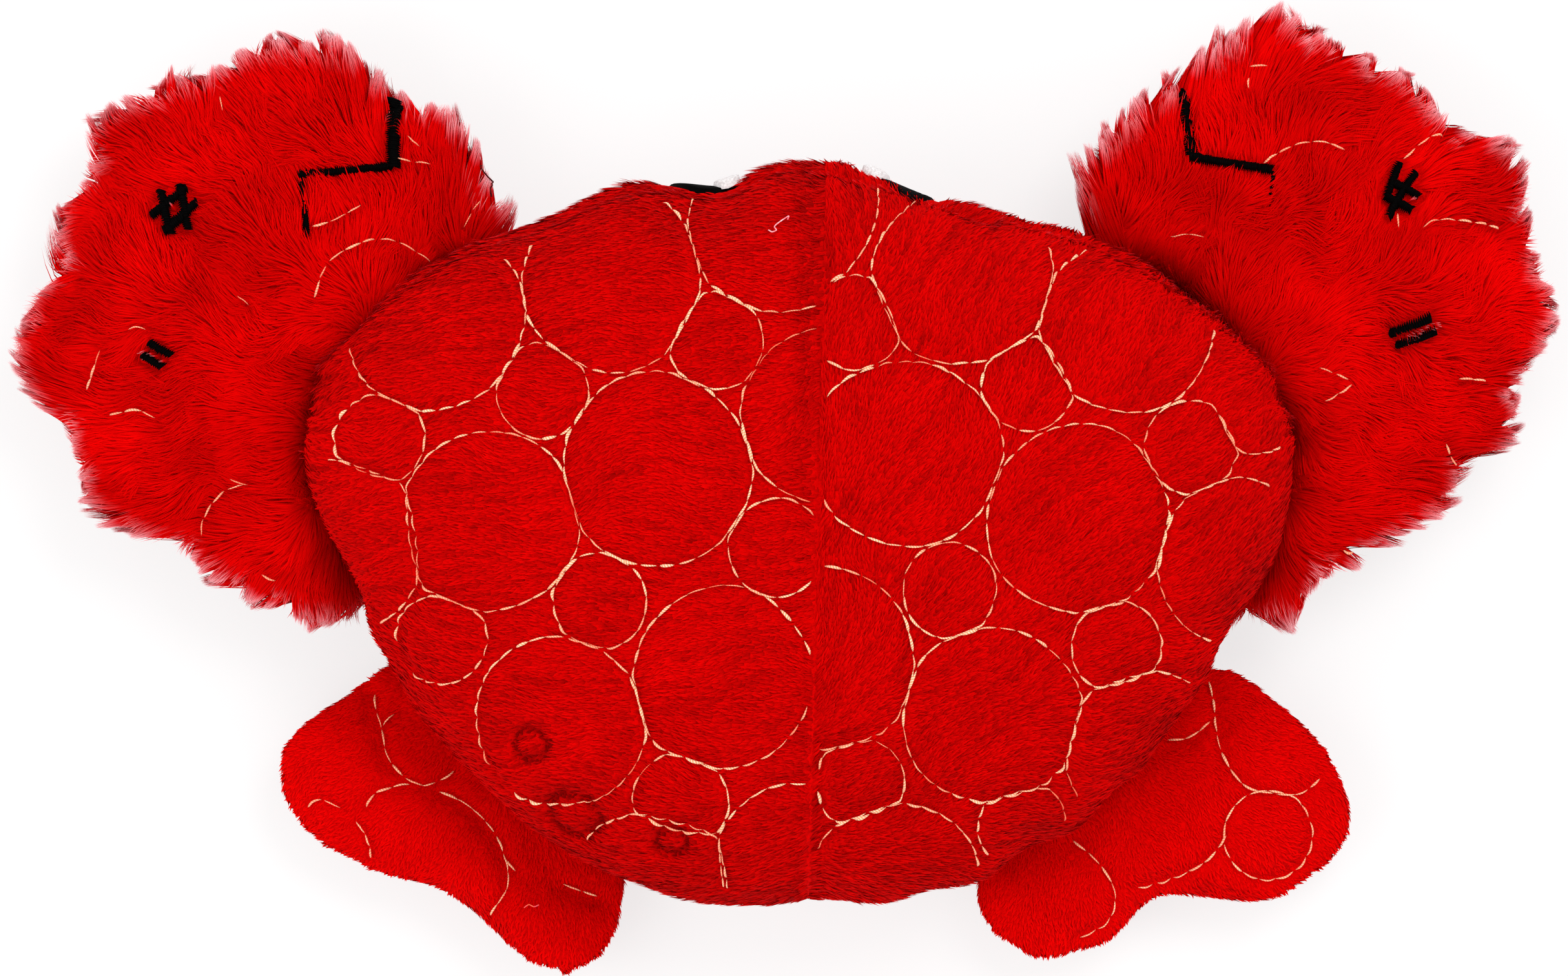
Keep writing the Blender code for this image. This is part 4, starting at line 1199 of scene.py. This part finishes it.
def build_body():
    nodes = BODY_PANELS + ("body_stuffing",)
    obj = stuffed_form("body_cover", nodes, BODY_VOXEL, BODY_PILE_DEPTH + 0.5 * SWELL)
    fit_outline(obj, plan(BODY_MIDDLE), plan(BODY_OUTLINE), BODY_INSET + 0.5 * SWELL, 5)
    rough_top = Top(obj.data, 0.002)
    circles = sewn_circles(rough_top)
    lines = np.concatenate([rough_top.lifted(curve[kept], 0.0) for curve, kept in circles])
    lines = lines[~np.isnan(lines).any(1)]
    stuff(obj, nearest(lines, points_of(obj.data)) < SEWN_REACH)
    mesh = finer(obj, 2)
    places, normals = points_of(mesh), normals_of(mesh)
    flat, upper = places[:, :2], upward(normals)
    relief = np.zeros((2, len(places)))
    add_groove(relief, "quilting", nearest(lines, places))
    add_groove(relief, "seam", panel_borders(BODY_PANELS, places))
    for line in DARTS:
        add_groove(relief, "dart", nearest(dense(plan(line)), flat, True), upper)
    add_groove(relief, "slit", nearest(dense(plan(CHEEK_SLIT)), flat, True), upper)
    add_groove(relief, "ring", ring_distance(flat), upper)
    down, painted_crease_shade = relief
    for x, out in CHEEKS:
        across, level = flat[:, 0] - plan((x, 0))[0], places[:, 2] - CHEEK_LEVEL
        bulge = groove(across, CHEEK_SPREAD[0]) * groove(level, CHEEK_SPREAD[1])
        down -= out * MM * bulge * smoothstep(normals[:, 1] / 0.5)
    press_in(mesh, down - 0.0006 * waves(places, 0.026, 5))
    finish_form(obj, nodes, "minky", np.clip(painted_crease_shade, 0, 1))
    return obj, circles


def add_back_stitches(top, circles):
    chance = np.random.default_rng(21)
    lift, length, gap = BACK_STITCHES
    gathered = [], [], [], []

    def sink(place):
        return 0.36 + 0.46 * waves(place[None, :2], 0.018, 31)[0]

    for curve, kept in circles:
        for run, closed in stretches(curve, kept):
            points, normal = top.lifted(run, lift), top.normal(run)
            good = ~np.isnan(points).any(1)
            if good.sum() >= 6:
                whole = closed and good.all()
                gather(gathered, cut_stitches(points[good], normal[good], length, gap, chance, whole, sink))
    middles = np.array([line.mean(0) for line in gathered[0]])
    for side, sign in SIDES.items():
        name = f"back_stitches_{side}"
        mine = np.nonzero(sign * past_seam(middles) > 0)[0]
        mesh = stitch_mesh(name, *([values[i] for i in mine] for values in gathered))
        add_piece(name, mesh, "thread", f"back_quilting_{side}")
    return middles


def stretches(curve, kept):
    """The parts of a closed curve that are kept, each with whether it is the whole of it."""
    if kept.all():
        return [(curve, True)]
    if not kept.any():
        return []
    start = int(np.nonzero(~kept)[0][0])
    curve, kept = np.roll(curve[:-1], -start, axis=0), np.roll(kept[:-1], -start)
    found, run = [], []
    for point, keep in zip(curve, kept):
        if keep:
            run.append(point)
        elif run:
            found.append(run)
            run = []
    if run:
        found.append(run)
    return [(np.array(run), False) for run in found if len(run) > 5]


def add_body_pile(obj, stitch_lines, eyes):
    mesh = obj.data
    low, high = points_of(mesh).min(0)[:2], points_of(mesh).max(0)[:2]
    streaks = combed(body_heading, low, high, 0.00045, 0.0045, 17)
    for side, sign in SIDES.items():
        chance = np.random.default_rng(41 + sign)

        def mine(middle, normal, sign=sign):
            return (sign * past_seam(middle) > -0.2) * (normal[:, 2] > -0.25) * 1.0

        root, normal = scatter(mesh, BACK_HAIRS, chance, mine)
        add_short_pile(f"back_pile_{side}", root, normal, streaks, stitch_lines, eyes, chance)
    chance = np.random.default_rng(44)

    def below(middle, normal):
        return (normal[:, 2] <= -0.15) * (middle[:, 2] > 0.004) * 1.0

    root, normal = scatter(mesh, BELLY_HAIRS, chance, below)
    add_short_pile("belly_pile", root, normal, streaks, stitch_lines, eyes, chance)


def add_short_pile(name, root, normal, streaks, stitch_lines, eyes, chance):
    count = len(root)
    heading = body_heading(root[:, :2])
    flow = np.column_stack([heading, np.zeros(count)]) + 0.12 * chance.normal(size=(count, 3))
    lying = root[:, :2] + HAIR_MIDDLE * heading
    tone = streaks(lying)
    near = smoothstep((nearest(stitch_lines, root) - 0.0003) / 0.0016)
    keep = np.ones(count, bool)
    for low, high in eyes:
        keep &= ~((root > low) & (root < high)).all(1)
    length = PILE_LENGTH * chance.uniform(0.8, 1.2, count) * (0.35 + 0.65 * near)
    lean = np.clip(0.34 + 0.08 * tone + 0.06 * chance.normal(size=count), 0.12, 1.0)
    wide = PILE_WIDTH * chance.uniform(0.8, 1.2, count)
    roll = 0.25 * chance.normal(size=count)
    sway = 0.15 * chance.normal(size=count)
    # Painted shade: the pile is darkened in the ring dents and in a strip just left of the middle seam
    dent = groove(ring_distance(lying), 0.0008) * (normal[:, 2] > 0.1)
    strip = groove(past_seam(root) + 2.2, 2.4) * smoothstep((root[:, 1] - ORIGIN[1]) / (30 * MM) + 0.4)
    shade = 0.50 + 0.30 * np.minimum(tone, 0.6) + 0.10 * waves(root[:, :2], 0.02, 8)
    shade = np.clip(shade - 0.45 * strip - 2.2 * dent, -1, 1)
    # Painted sheen: hairs on the sides facing the front get pale tips, a haze of light along the rim
    sides = smoothstep((0.35 - normal[:, 2]) / 0.35) * smoothstep((normal[:, 1] - 0.1) / 0.4)
    painted_tip_light = 0.8 * sides * chance.uniform(0.2, 1.0, count)
    length = length * (1 - 0.6 * dent) * (1 + 0.7 * sides)
    made = blades(
        root[keep], normal[keep], flow[keep], length[keep], lean[keep], 0.6, sway[keep], roll[keep],
        wide[keep], 2,
    )
    add_blades(name, made, shade[keep], painted_tip_light[keep], "minky")


# Limbs

def build_leg(side):
    nodes = tuple(f"rear_legs_{side}_{part}" for part in LIMB_PARTS)
    obj = stuffed_form(f"rear_legs_{side}_cover", nodes, LEG_VOXEL, LEG_PILE_DEPTH + 0.3 * SWELL)
    fit_outline(obj, plan(LEG_CENTRES[side]), plan(LEG_OUTLINES[side]), LEG_INSET + 0.5 * SWELL, 5)
    arcs = arc_points(LEG_ARCS[side])
    stuff(obj, sewn_down(obj.data, arcs))
    mesh = finer(obj, 2)
    places = points_of(mesh)
    relief = np.zeros((2, len(places)))
    add_groove(relief, "leg_quilting", nearest(arcs, places, True), upward(normals_of(mesh)))
    add_groove(relief, "leg_seam", panel_borders(nodes[:2], places))
    down, painted_crease_shade = relief
    press_in(mesh, down - 0.0005 * waves(places, 0.018, 6))
    finish_form(obj, nodes, "minky", np.clip(painted_crease_shade, 0, 1))
    return obj


def add_leg_details(side, obj):
    chance = np.random.default_rng(61 + SIDES[side])
    name = f"rear_legs_{side}"
    gathered = arc_stitches(LEG_ARCS[side], Top(obj.data), LEG_STITCHES, chance)
    mesh = stitch_mesh(f"{name}_stitches", *gathered)
    add_piece(f"{name}_stitches", mesh, "thread", f"{name}_quilting")

    middles = np.array([line.mean(0) for line in gathered[0]])
    root, normal = scatter(
        obj.data, LEG_HAIRS, chance, lambda middle, normal: (middle[:, 2] > 0.0012) * 1.0
    )
    count = len(root)
    outward = unit(root[:, :2] - plan((SIDES[side] * 45, -30)))
    flow = np.column_stack([turned(outward, 0.5 * waves(root[:, :2], 0.016, 9)), np.zeros(count)])
    flow = flow + 0.2 * chance.normal(size=(count, 3))
    near = smoothstep((nearest(middles, root) - 0.001) / 0.0018)
    length = LEG_PILE_LENGTH * chance.uniform(0.8, 1.2, count) * (0.5 + 0.5 * near)
    shade = 0.98 + 0.05 * chance.normal(size=count) + 0.12 * waves(root[:, :2], 0.012, 10)
    sway, roll = 0.25 * chance.normal(size=count), 0.25 * chance.normal(size=count)
    wide = LEG_PILE_WIDTH * chance.uniform(0.8, 1.2, count)
    made = blades(root, normal, flow, length, np.full(count, 0.36), 0.6, sway, roll, wide, 2)
    add_blades(f"{name}_pile", made, np.clip(shade, 0, 1), np.zeros(count), "minky")


def claw_marks(side):
    """The strokes of satin stitch on one claw: ends in the frame, width in metres, how deep it is buried."""
    strokes = [(plan(start), plan(end), width * MM, sunk) for start, end, width, sunk in SATIN[side]]
    turn = BAR_TURNS[side]
    beside = BAR_SPACING / 2 * square_to(heading_of(turn))
    bars = [(*(BAR_CENTRES[side] + way * beside), turn, BAR_STROKES[side]) for way in (-1, 1)]
    for x, y, degrees, length in CROSSES[side] + bars:
        half = length / 2 * heading_of(degrees)
        strokes.append((plan((x, y) - half), plan((x, y) + half), MARK_WIDTH * MM, 0.0))
    return strokes


def stroke_area(start, end, width):
    """Points all over one stroke."""
    beside = 0.5 * width * square_to(unit(end - start))
    line = dense(np.array([start, end]), 0.0007)
    return np.concatenate([line + share * beside for share in (-0.85, -0.4, 0.0, 0.4, 0.85)])


def polar_reach(outline, centre):
    """A function of plan places: how far the outline is from the centre there, and how far they are."""
    reach = outline_spokes(outline, centre)

    def read(places):
        spoke, far = polar(places, centre)
        return at_spoke(reach, spoke), far

    return read


def build_claw(side, body_tree):
    nodes = tuple(f"claw_{side}_{part}" for part in LIMB_PARTS)

    def depth(places):
        gap = np.array([body_tree.find_nearest(Vector(place))[3] for place in places])
        return 0.0006 + CLAW_PILE_DEPTH * smoothstep(gap / 0.016)

    obj = stuffed_form(f"claw_{side}_cover", nodes, CLAW_VOXEL, depth)
    marks = claw_marks(side)
    strokes = [dense(np.array([start, end])) for start, end, _, _ in marks]
    sewn = np.concatenate([arc_points(CLAW_ARCS[side]), *strokes])
    hidden = plan([(SIDES[side] * x, y) for x, y in HIDDEN_EDGE])
    outline = np.vstack([plan(FRINGES[side]), hidden])
    fit_outline(obj, plan(CLAW_CENTRES[side]), outline, CLAW_INSET + 0.5 * SWELL, 25)
    stuff(obj, sewn_down(obj.data, sewn))
    mesh = finer(obj, 1)
    places = points_of(mesh)
    sewing = groove(nearest(sewn, places, True), 0.0035) * upward(normals_of(mesh))
    press_in(mesh, 0.0016 * sewing - 0.0015 * waves(places, 0.020, 7 + SIDES[side]))
    finish_form(obj, nodes, "fur", np.zeros(len(places)))
    return obj, marks


def tuft_places(side):
    """Plan places in the gaps of the cross and along the gap between the bars."""
    reach = 0.42 * BAR_STROKES[side] * heading_of(BAR_TURNS[side])
    middle = np.array(BAR_CENTRES[side])
    return np.vstack([dense(plan([middle - reach, middle + reach])), plan(CROSS_TUFTS[side])])


def followed(guides, places):
    """For each hair, the guide whose middle is nearest to its own."""
    tree = kd_tree(places[guides])
    return np.array([guides[tree.find(place)[1]] for place in places])


def parted(root, heading, length, marks, side, whim):
    """The hairs' lengths, cut back where they would lie over the strokes and the stitches of the claw."""
    areas = [stroke_area(*mark[:3]) for mark in marks]
    depths = np.concatenate([np.full(len(area), mark[3]) for area, mark in zip(areas, marks)])
    tree = kd_tree(in_space(np.concatenate(areas)))
    for stop in np.linspace(0.15, 1.0, 7)[::-1]:
        spot = root + (length * stop)[:, None] * heading
        found = [tree.find((x, y, 0))[1:] for x, y in spot[:, :2]]
        index, far = (np.array(column) for column in zip(*found))
        over = (far < 0.0007) & (whim > 1.25 * depths[index])
        length = np.where(over, np.maximum(length * stop - 0.0003, 0.0006), length)
    soft = nearest(arc_points(CLAW_ARCS[side]), root + 0.5 * length[:, None] * heading, True)
    return length * (0.35 + 0.65 * smoothstep((soft - 0.0002) / 0.0020))


def tips_of(root, normal, heading, length, lean):
    rise = np.cos(lean)[:, None] * heading + np.sin(0.6 * lean)[:, None] * normal
    return root + length[:, None] * rise


def add_fur(side, obj, marks):
    """The long fur of one claw, combed out from the body, clumped, and parted round its stitches."""
    centre, hub = plan(CLAW_CENTRES[side]), plan(CLAW_ROOTS[side])
    reach_at = polar_reach(plan(FRINGES[side]), centre)
    for level, (count, segments, seed) in FUR_LEVELS.items():
        chance = np.random.default_rng(seed + SIDES[side])
        above = level == "upper"
        inside = 1.0 if above else LOWER_FUR_REACH

        def mine(middle, normal, above=above):
            lower = (normal[:, 2] <= -0.35) * (middle[:, 2] > 0.0015)
            return ((normal[:, 2] > -0.35) if above else lower) * 1.0

        root, normal = scatter(obj.data, count, chance, mine)
        flat = root[:, :2]
        limit, far = reach_at(flat)
        edge = smoothstep((far / limit - 0.70) / 0.25)
        turn = (0.70 * waves(flat, 0.028, 12) + 0.60 * waves(flat, 0.008, 13)) * (1 - 0.6 * edge)
        flow = np.column_stack([turned(unit(flat - hub), turn), np.zeros(count)])
        length = (FUR_LENGTH + FUR_RIM_LENGTH * edge) * chance.uniform(0.75, 1.1, count)
        lean = 0.34 + 0.06 * chance.normal(size=count) + 0.10 * waves(root, 0.012, 14)
        lean = np.clip(lean, 0.12, 1.2)
        body_gap = np.linalg.norm(flat - hub, axis=1)
        length = length * (0.45 + 0.55 * smoothstep((body_gap - 0.012) / 0.02))

        heading = unit(flow - (flow * normal).sum(1)[:, None] * normal)
        tufted = np.zeros(count, bool)
        if above:
            length = parted(root, heading, length, marks, side, chance.uniform(0, 1, count))
            tufted = nearest(tuft_places(side), root, True) < TUFT_REACH
            lean = np.where(tufted, TUFT_LEAN, lean)
            length = np.where(tufted, TUFT_LENGTH, length)
        limit, far = reach_at(tips_of(root, normal, heading, length, lean)[:, :2])
        limit = limit * inside
        over = np.clip(far - limit * chance.uniform(0.94, 1.01, count), 0, None)
        short = np.clip(limit - far, 0, 0.006) * edge * chance.uniform(0.3, 1.15, count)
        length = np.clip(length - over + short, 0.0008, 0.016)
        tip = tips_of(root, normal, heading, length, lean)

        middle = root + 0.35 * (tip - root)
        guides = chance.choice(count, count // HAIRS_A_CLUMP, replace=False)
        rim_guides = guides[: int(len(guides) * RIM_GUIDE_SHARE)]
        chosen = np.where(edge > 0.5, followed(rim_guides, middle), followed(guides, middle))
        strength = np.where(edge > 0.5, 0.92, 0.16 + 0.3 * edge) * chance.uniform(0.62, 1.0, count)
        strength = np.where(tufted | (length < 0.4 * length[chosen]), 0.0, strength)
        target = tip[chosen]
        limit, far = reach_at(target[:, :2])
        wanted = limit * inside * (1.015 + 0.035 * waves(root[chosen], 0.004, 18))
        drawn = edge[chosen] * np.clip(wanted / far - 1, -0.2, 0.15)
        target[:, :2] += (target[:, :2] - centre) * drawn[:, None]
        shade = 0.48 + 0.05 * waves(root[chosen], 0.004, 15) + 0.03 * chance.normal(size=count)
        shade = np.clip(shade + 0.26 * waves(root, 0.016, 16), 0, 1)
        ends = tip + strength[:, None] * (target - tip)
        limit, far = reach_at(ends[:, :2])
        # Painted light: hair tips at the rim of the claw, and in the tufts, are paler, as if light shone
        # through them
        painted_tip_light = smoothstep((far / limit - 0.91) / 0.09) * chance.uniform(0.6, 1.0, count)
        painted_tip_light = painted_tip_light * (0.3 + 0.7 * groove(root[:, 2] - CLAW_SEAM_LEVEL, 0.012))
        painted_tip_light = np.where(tufted, 0.5, painted_tip_light)
        sway, roll = 0.18 * chance.normal(size=count), 0.15 * chance.normal(size=count)
        wide = FUR_WIDTH * chance.uniform(0.7, 1.3, count)
        pull = (target, strength)
        made = blades(root, normal, flow, length, lean, 0.55, sway, roll, wide, segments, pull)
        add_blades(f"claw_{side}_fur_{level}", made, shade, painted_tip_light, "fur")


def add_satin(side, obj, marks):
    """Bundles of black thread laid over the claw, each stroke a padded bar of fine strands."""
    top = Top(obj.data).widened(7)
    chance = np.random.default_rng(101 + SIDES[side])
    across = np.linspace(-1, 1, STITCH_RINGS)[:, None]
    crown = 1 - across[:, 0] ** 2
    groups = {"zigzag": marks[:3], "cross": marks[3:7], "bar_front": marks[8:9], "bar_rear": marks[7:8]}
    for part, strokes in groups.items():
        lines, ups = [], []
        for start, end, width, sunk in strokes:
            along = unit(end - start)
            length = np.linalg.norm(end - start)
            strands = max(10, int(length / SATIN_PITCH))
            for k in range(strands):
                half = 0.5 * width * chance.uniform(0.88, 1.12)
                spot = start + along * length * (k + 0.5) / strands
                run = spot + across * half * (square_to(along) + 0.25 * along)
                lift = 0.0014 + 0.0011 * crown - 0.0016 * sunk + 0.0001 * chance.normal()
                line = top.lifted(run, lift)
                if not np.isnan(line).any():
                    lines.append(line)
                    ups.append(top.normal(run))
        name = f"claw_{side}_{part}_satin"
        mesh = stitch_mesh(name, lines, ups, np.full(len(lines), SATIN_WIDTH), np.zeros(len(lines)))
        add_piece(name, mesh, "satin", f"claw_{side}_{part}")
    name = f"claw_{side}_stitches"
    gathered = arc_stitches(CLAW_ARCS[side], top, CLAW_STITCHES, chance)
    add_piece(name, stitch_mesh(name, *gathered), "thread")


# Eyes

def add_eye(side, body):
    """The padded eye patch and the glint on it, laid over the front of the body."""
    tree = tree_of(body.data)
    lift = 0.0003
    for part, slot, puff in (("patch", "satin", EYE_PUFF[side]), ("glint", "glint", GLINT_PUFF)):
        low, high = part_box(f"eye_{side}_{part}")
        centre = np.array([(low.x + high.x) / 2, (low.z + high.z) / 2])
        if part == "glint":
            centre[0] -= SIDES[side] * GLINT_SHIFT
        half = np.array([high.x - low.x, high.z - low.z]) / 2
        places = []
        for ring in range(EYE_RINGS + 1):
            share = ring / EYE_RINGS
            rise = lift + puff * math.sqrt(max(0.0, 1 - share**2.4)) - (0.0008 if share == 1 else 0.0)
            for turn in np.linspace(0, 2 * np.pi, EYE_SIDES, endpoint=False):
                x, z = centre + share * half * np.array([math.cos(turn), math.sin(turn)])
                hit, normal, _, _ = tree.ray_cast(Vector((x, 1.0, z)), Vector((0, -1, 0)))
                normal = Vector((0.25 * normal.x, 1.0, 0.25 * normal.z)).normalized()
                places.append(hit + normal * rise)
        faces = []
        for ring in range(EYE_RINGS):
            for k in range(EYE_SIDES):
                a, b = ring * EYE_SIDES + k, ring * EYE_SIDES + (k + 1) % EYE_SIDES
                faces.append((a, b, b + EYE_SIDES, a + EYE_SIDES))
        name = f"eye_{side}_{part}_pad"
        mesh = bpy.data.meshes.new(name)
        mesh.from_pydata(places, [], faces)
        flat = bmesh.new()
        flat.from_mesh(mesh)
        bmesh.ops.remove_doubles(flat, verts=flat.verts[:], dist=0.00001)
        bmesh.ops.recalc_face_normals(flat, faces=flat.faces[:])
        flat.to_mesh(mesh)
        flat.free()
        mesh.shade_smooth()
        piece = add_piece(name, mesh, slot, f"eye_{side}_{part}")
        lift += EYE_PUFF[side] * 0.9


def eye_boxes():
    """The space over each eye, which the pile leaves bare."""
    found = []
    for side in SIDES:
        low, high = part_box(f"eye_{side}_patch")
        first = np.array([low.x, low.y - 0.003, low.z + 0.001])
        found.append((first, np.array([high.x, high.y + 0.01, EYE_BARE[side]])))
    return found


def add_loose_thread(name, line, top, lift, thick, dark, light):
    """One loose thread or bit of lint, lying over the form."""
    points = top.lifted(rounded(plan(line), 6), lift)
    points = points[~np.isnan(points).any(1)]
    curve = bpy.data.curves.new(name, "CURVE")
    curve.dimensions = "3D"
    curve.bevel_depth = thick
    spline = curve.splines.new("POLY")
    spline.points.add(len(points) - 1)
    for knot, point in zip(spline.points, points):
        knot.co = (*point, 1.0)
    curve.materials.append(plain_material(name, dark, light, 1500.0, 0.9, 0.0001))
    obj = new_object(name, curve)
    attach(obj, "root")


# Light and view

def add_floor():
    """A pale floor that is seen a little brighter than it is lit, so that it stays white round the shadow."""
    floor = bpy.data.meshes.new("floor")
    corners = [(x * FLOOR_SIZE, y * FLOOR_SIZE, 0) for x, y in ((-1, -1), (1, -1), (1, 1), (-1, 1))]
    floor.from_pydata(corners, [], [(0, 1, 2, 3)])
    obj = new_object("floor", floor)
    obj.location.z = -0.0002
    material = bpy.data.materials.new("pale_floor")
    material.use_nodes = True
    tree = material.node_tree
    tree.nodes.clear()
    output = tree.nodes.new("ShaderNodeOutputMaterial")
    paper = node(tree, "ShaderNodeBsdfDiffuse", Color=(0.92, 0.92, 0.92, 1.0))
    glow = node(tree, "ShaderNodeEmission", Color=(1.0, 1.0, 1.0, 1.0), Strength=1.0)
    rays = tree.nodes.new("ShaderNodeLightPath")
    seen = node(tree, "ShaderNodeMath", operation="MAXIMUM")
    tree.links.new(rays.outputs["Is Camera Ray"], seen.inputs[0])
    tree.links.new(rays.outputs["Is Glossy Ray"], seen.inputs[1])
    both = tree.nodes.new("ShaderNodeMixShader")
    amount = calculated(tree, "MULTIPLY", seen.outputs[0], FLOOR_GLOW)
    for place, socket in enumerate((amount, paper.outputs[0], glow.outputs[0])):
        tree.links.new(socket, both.inputs[place])
    tree.links.new(both.outputs[0], output.inputs["Surface"])
    floor.materials.append(material)


def add_light(name, place, size, power):
    lamp = bpy.data.lights.new(name, "AREA")
    lamp.shape = "DISK"
    lamp.size = size
    lamp.energy = power
    obj = new_object(name, lamp)
    obj.location = place
    obj.rotation_euler = (Vector(LIT_PLACE) - Vector(place)).to_track_quat("-Z", "Y").to_euler()


def add_view():
    scene = bpy.context.scene
    middle = plan(VIEW_CENTRE)
    camera = bpy.data.cameras.new("view")
    camera.sensor_fit = "HORIZONTAL"
    camera.sensor_width = SENSOR
    camera.lens = LENS
    camera.clip_end = 20
    obj = new_object("view", camera)
    obj.location = (middle[0], middle[1], VIEW_LEVEL + VIEW_WIDTH * LENS / SENSOR)
    scene.camera = obj
    scene.view_settings.view_transform = "Standard"
    world = bpy.data.worlds.new("room")
    world.use_nodes = True
    room = world.node_tree.nodes["Background"]
    room.inputs["Color"].default_value = (1.0, 1.0, 1.0, 1.0)
    room.inputs["Strength"].default_value = ROOM_LIGHT
    scene.world = world
    for name, (place, size, power) in LAMPS.items():
        add_light(name, place, size, power)


def main():
    add_view()
    add_floor()
    body, circles = build_body()
    body_tree = tree_of(body.data)
    top = Top(body.data)
    middles = add_back_stitches(top, circles)
    add_body_pile(body, middles, eye_boxes())
    add_loose_thread("back_lint", BACK_LINT, top, 0.0014, 0.00011, PINK, PINK_PALE)
    for side in SIDES:
        leg = build_leg(side)
        add_leg_details(side, leg)
        if side == "left":
            add_loose_thread("leg_lint", LEG_LINT, Top(leg.data), 0.0014, 0.00010, SALMON, PINK)
        claw, marks = build_claw(side, body_tree)
        add_satin(side, claw, marks)
        if side == "left":
            claw_top = Top(claw.data).widened(6)
            add_loose_thread("claw_thread", DARK_THREAD, claw_top, 0.0048, 0.00014, RED_BLACK, RED_DARK)
        add_fur(side, claw, marks)
        add_eye(side, body)
    for name, slot_name in (("squeaker_bulb", "bulb"), ("squeaker_valve", "valve")):
        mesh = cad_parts[name].data
        mesh.materials.clear()
        mesh.materials.append(MATERIALS[slot_name])


main()
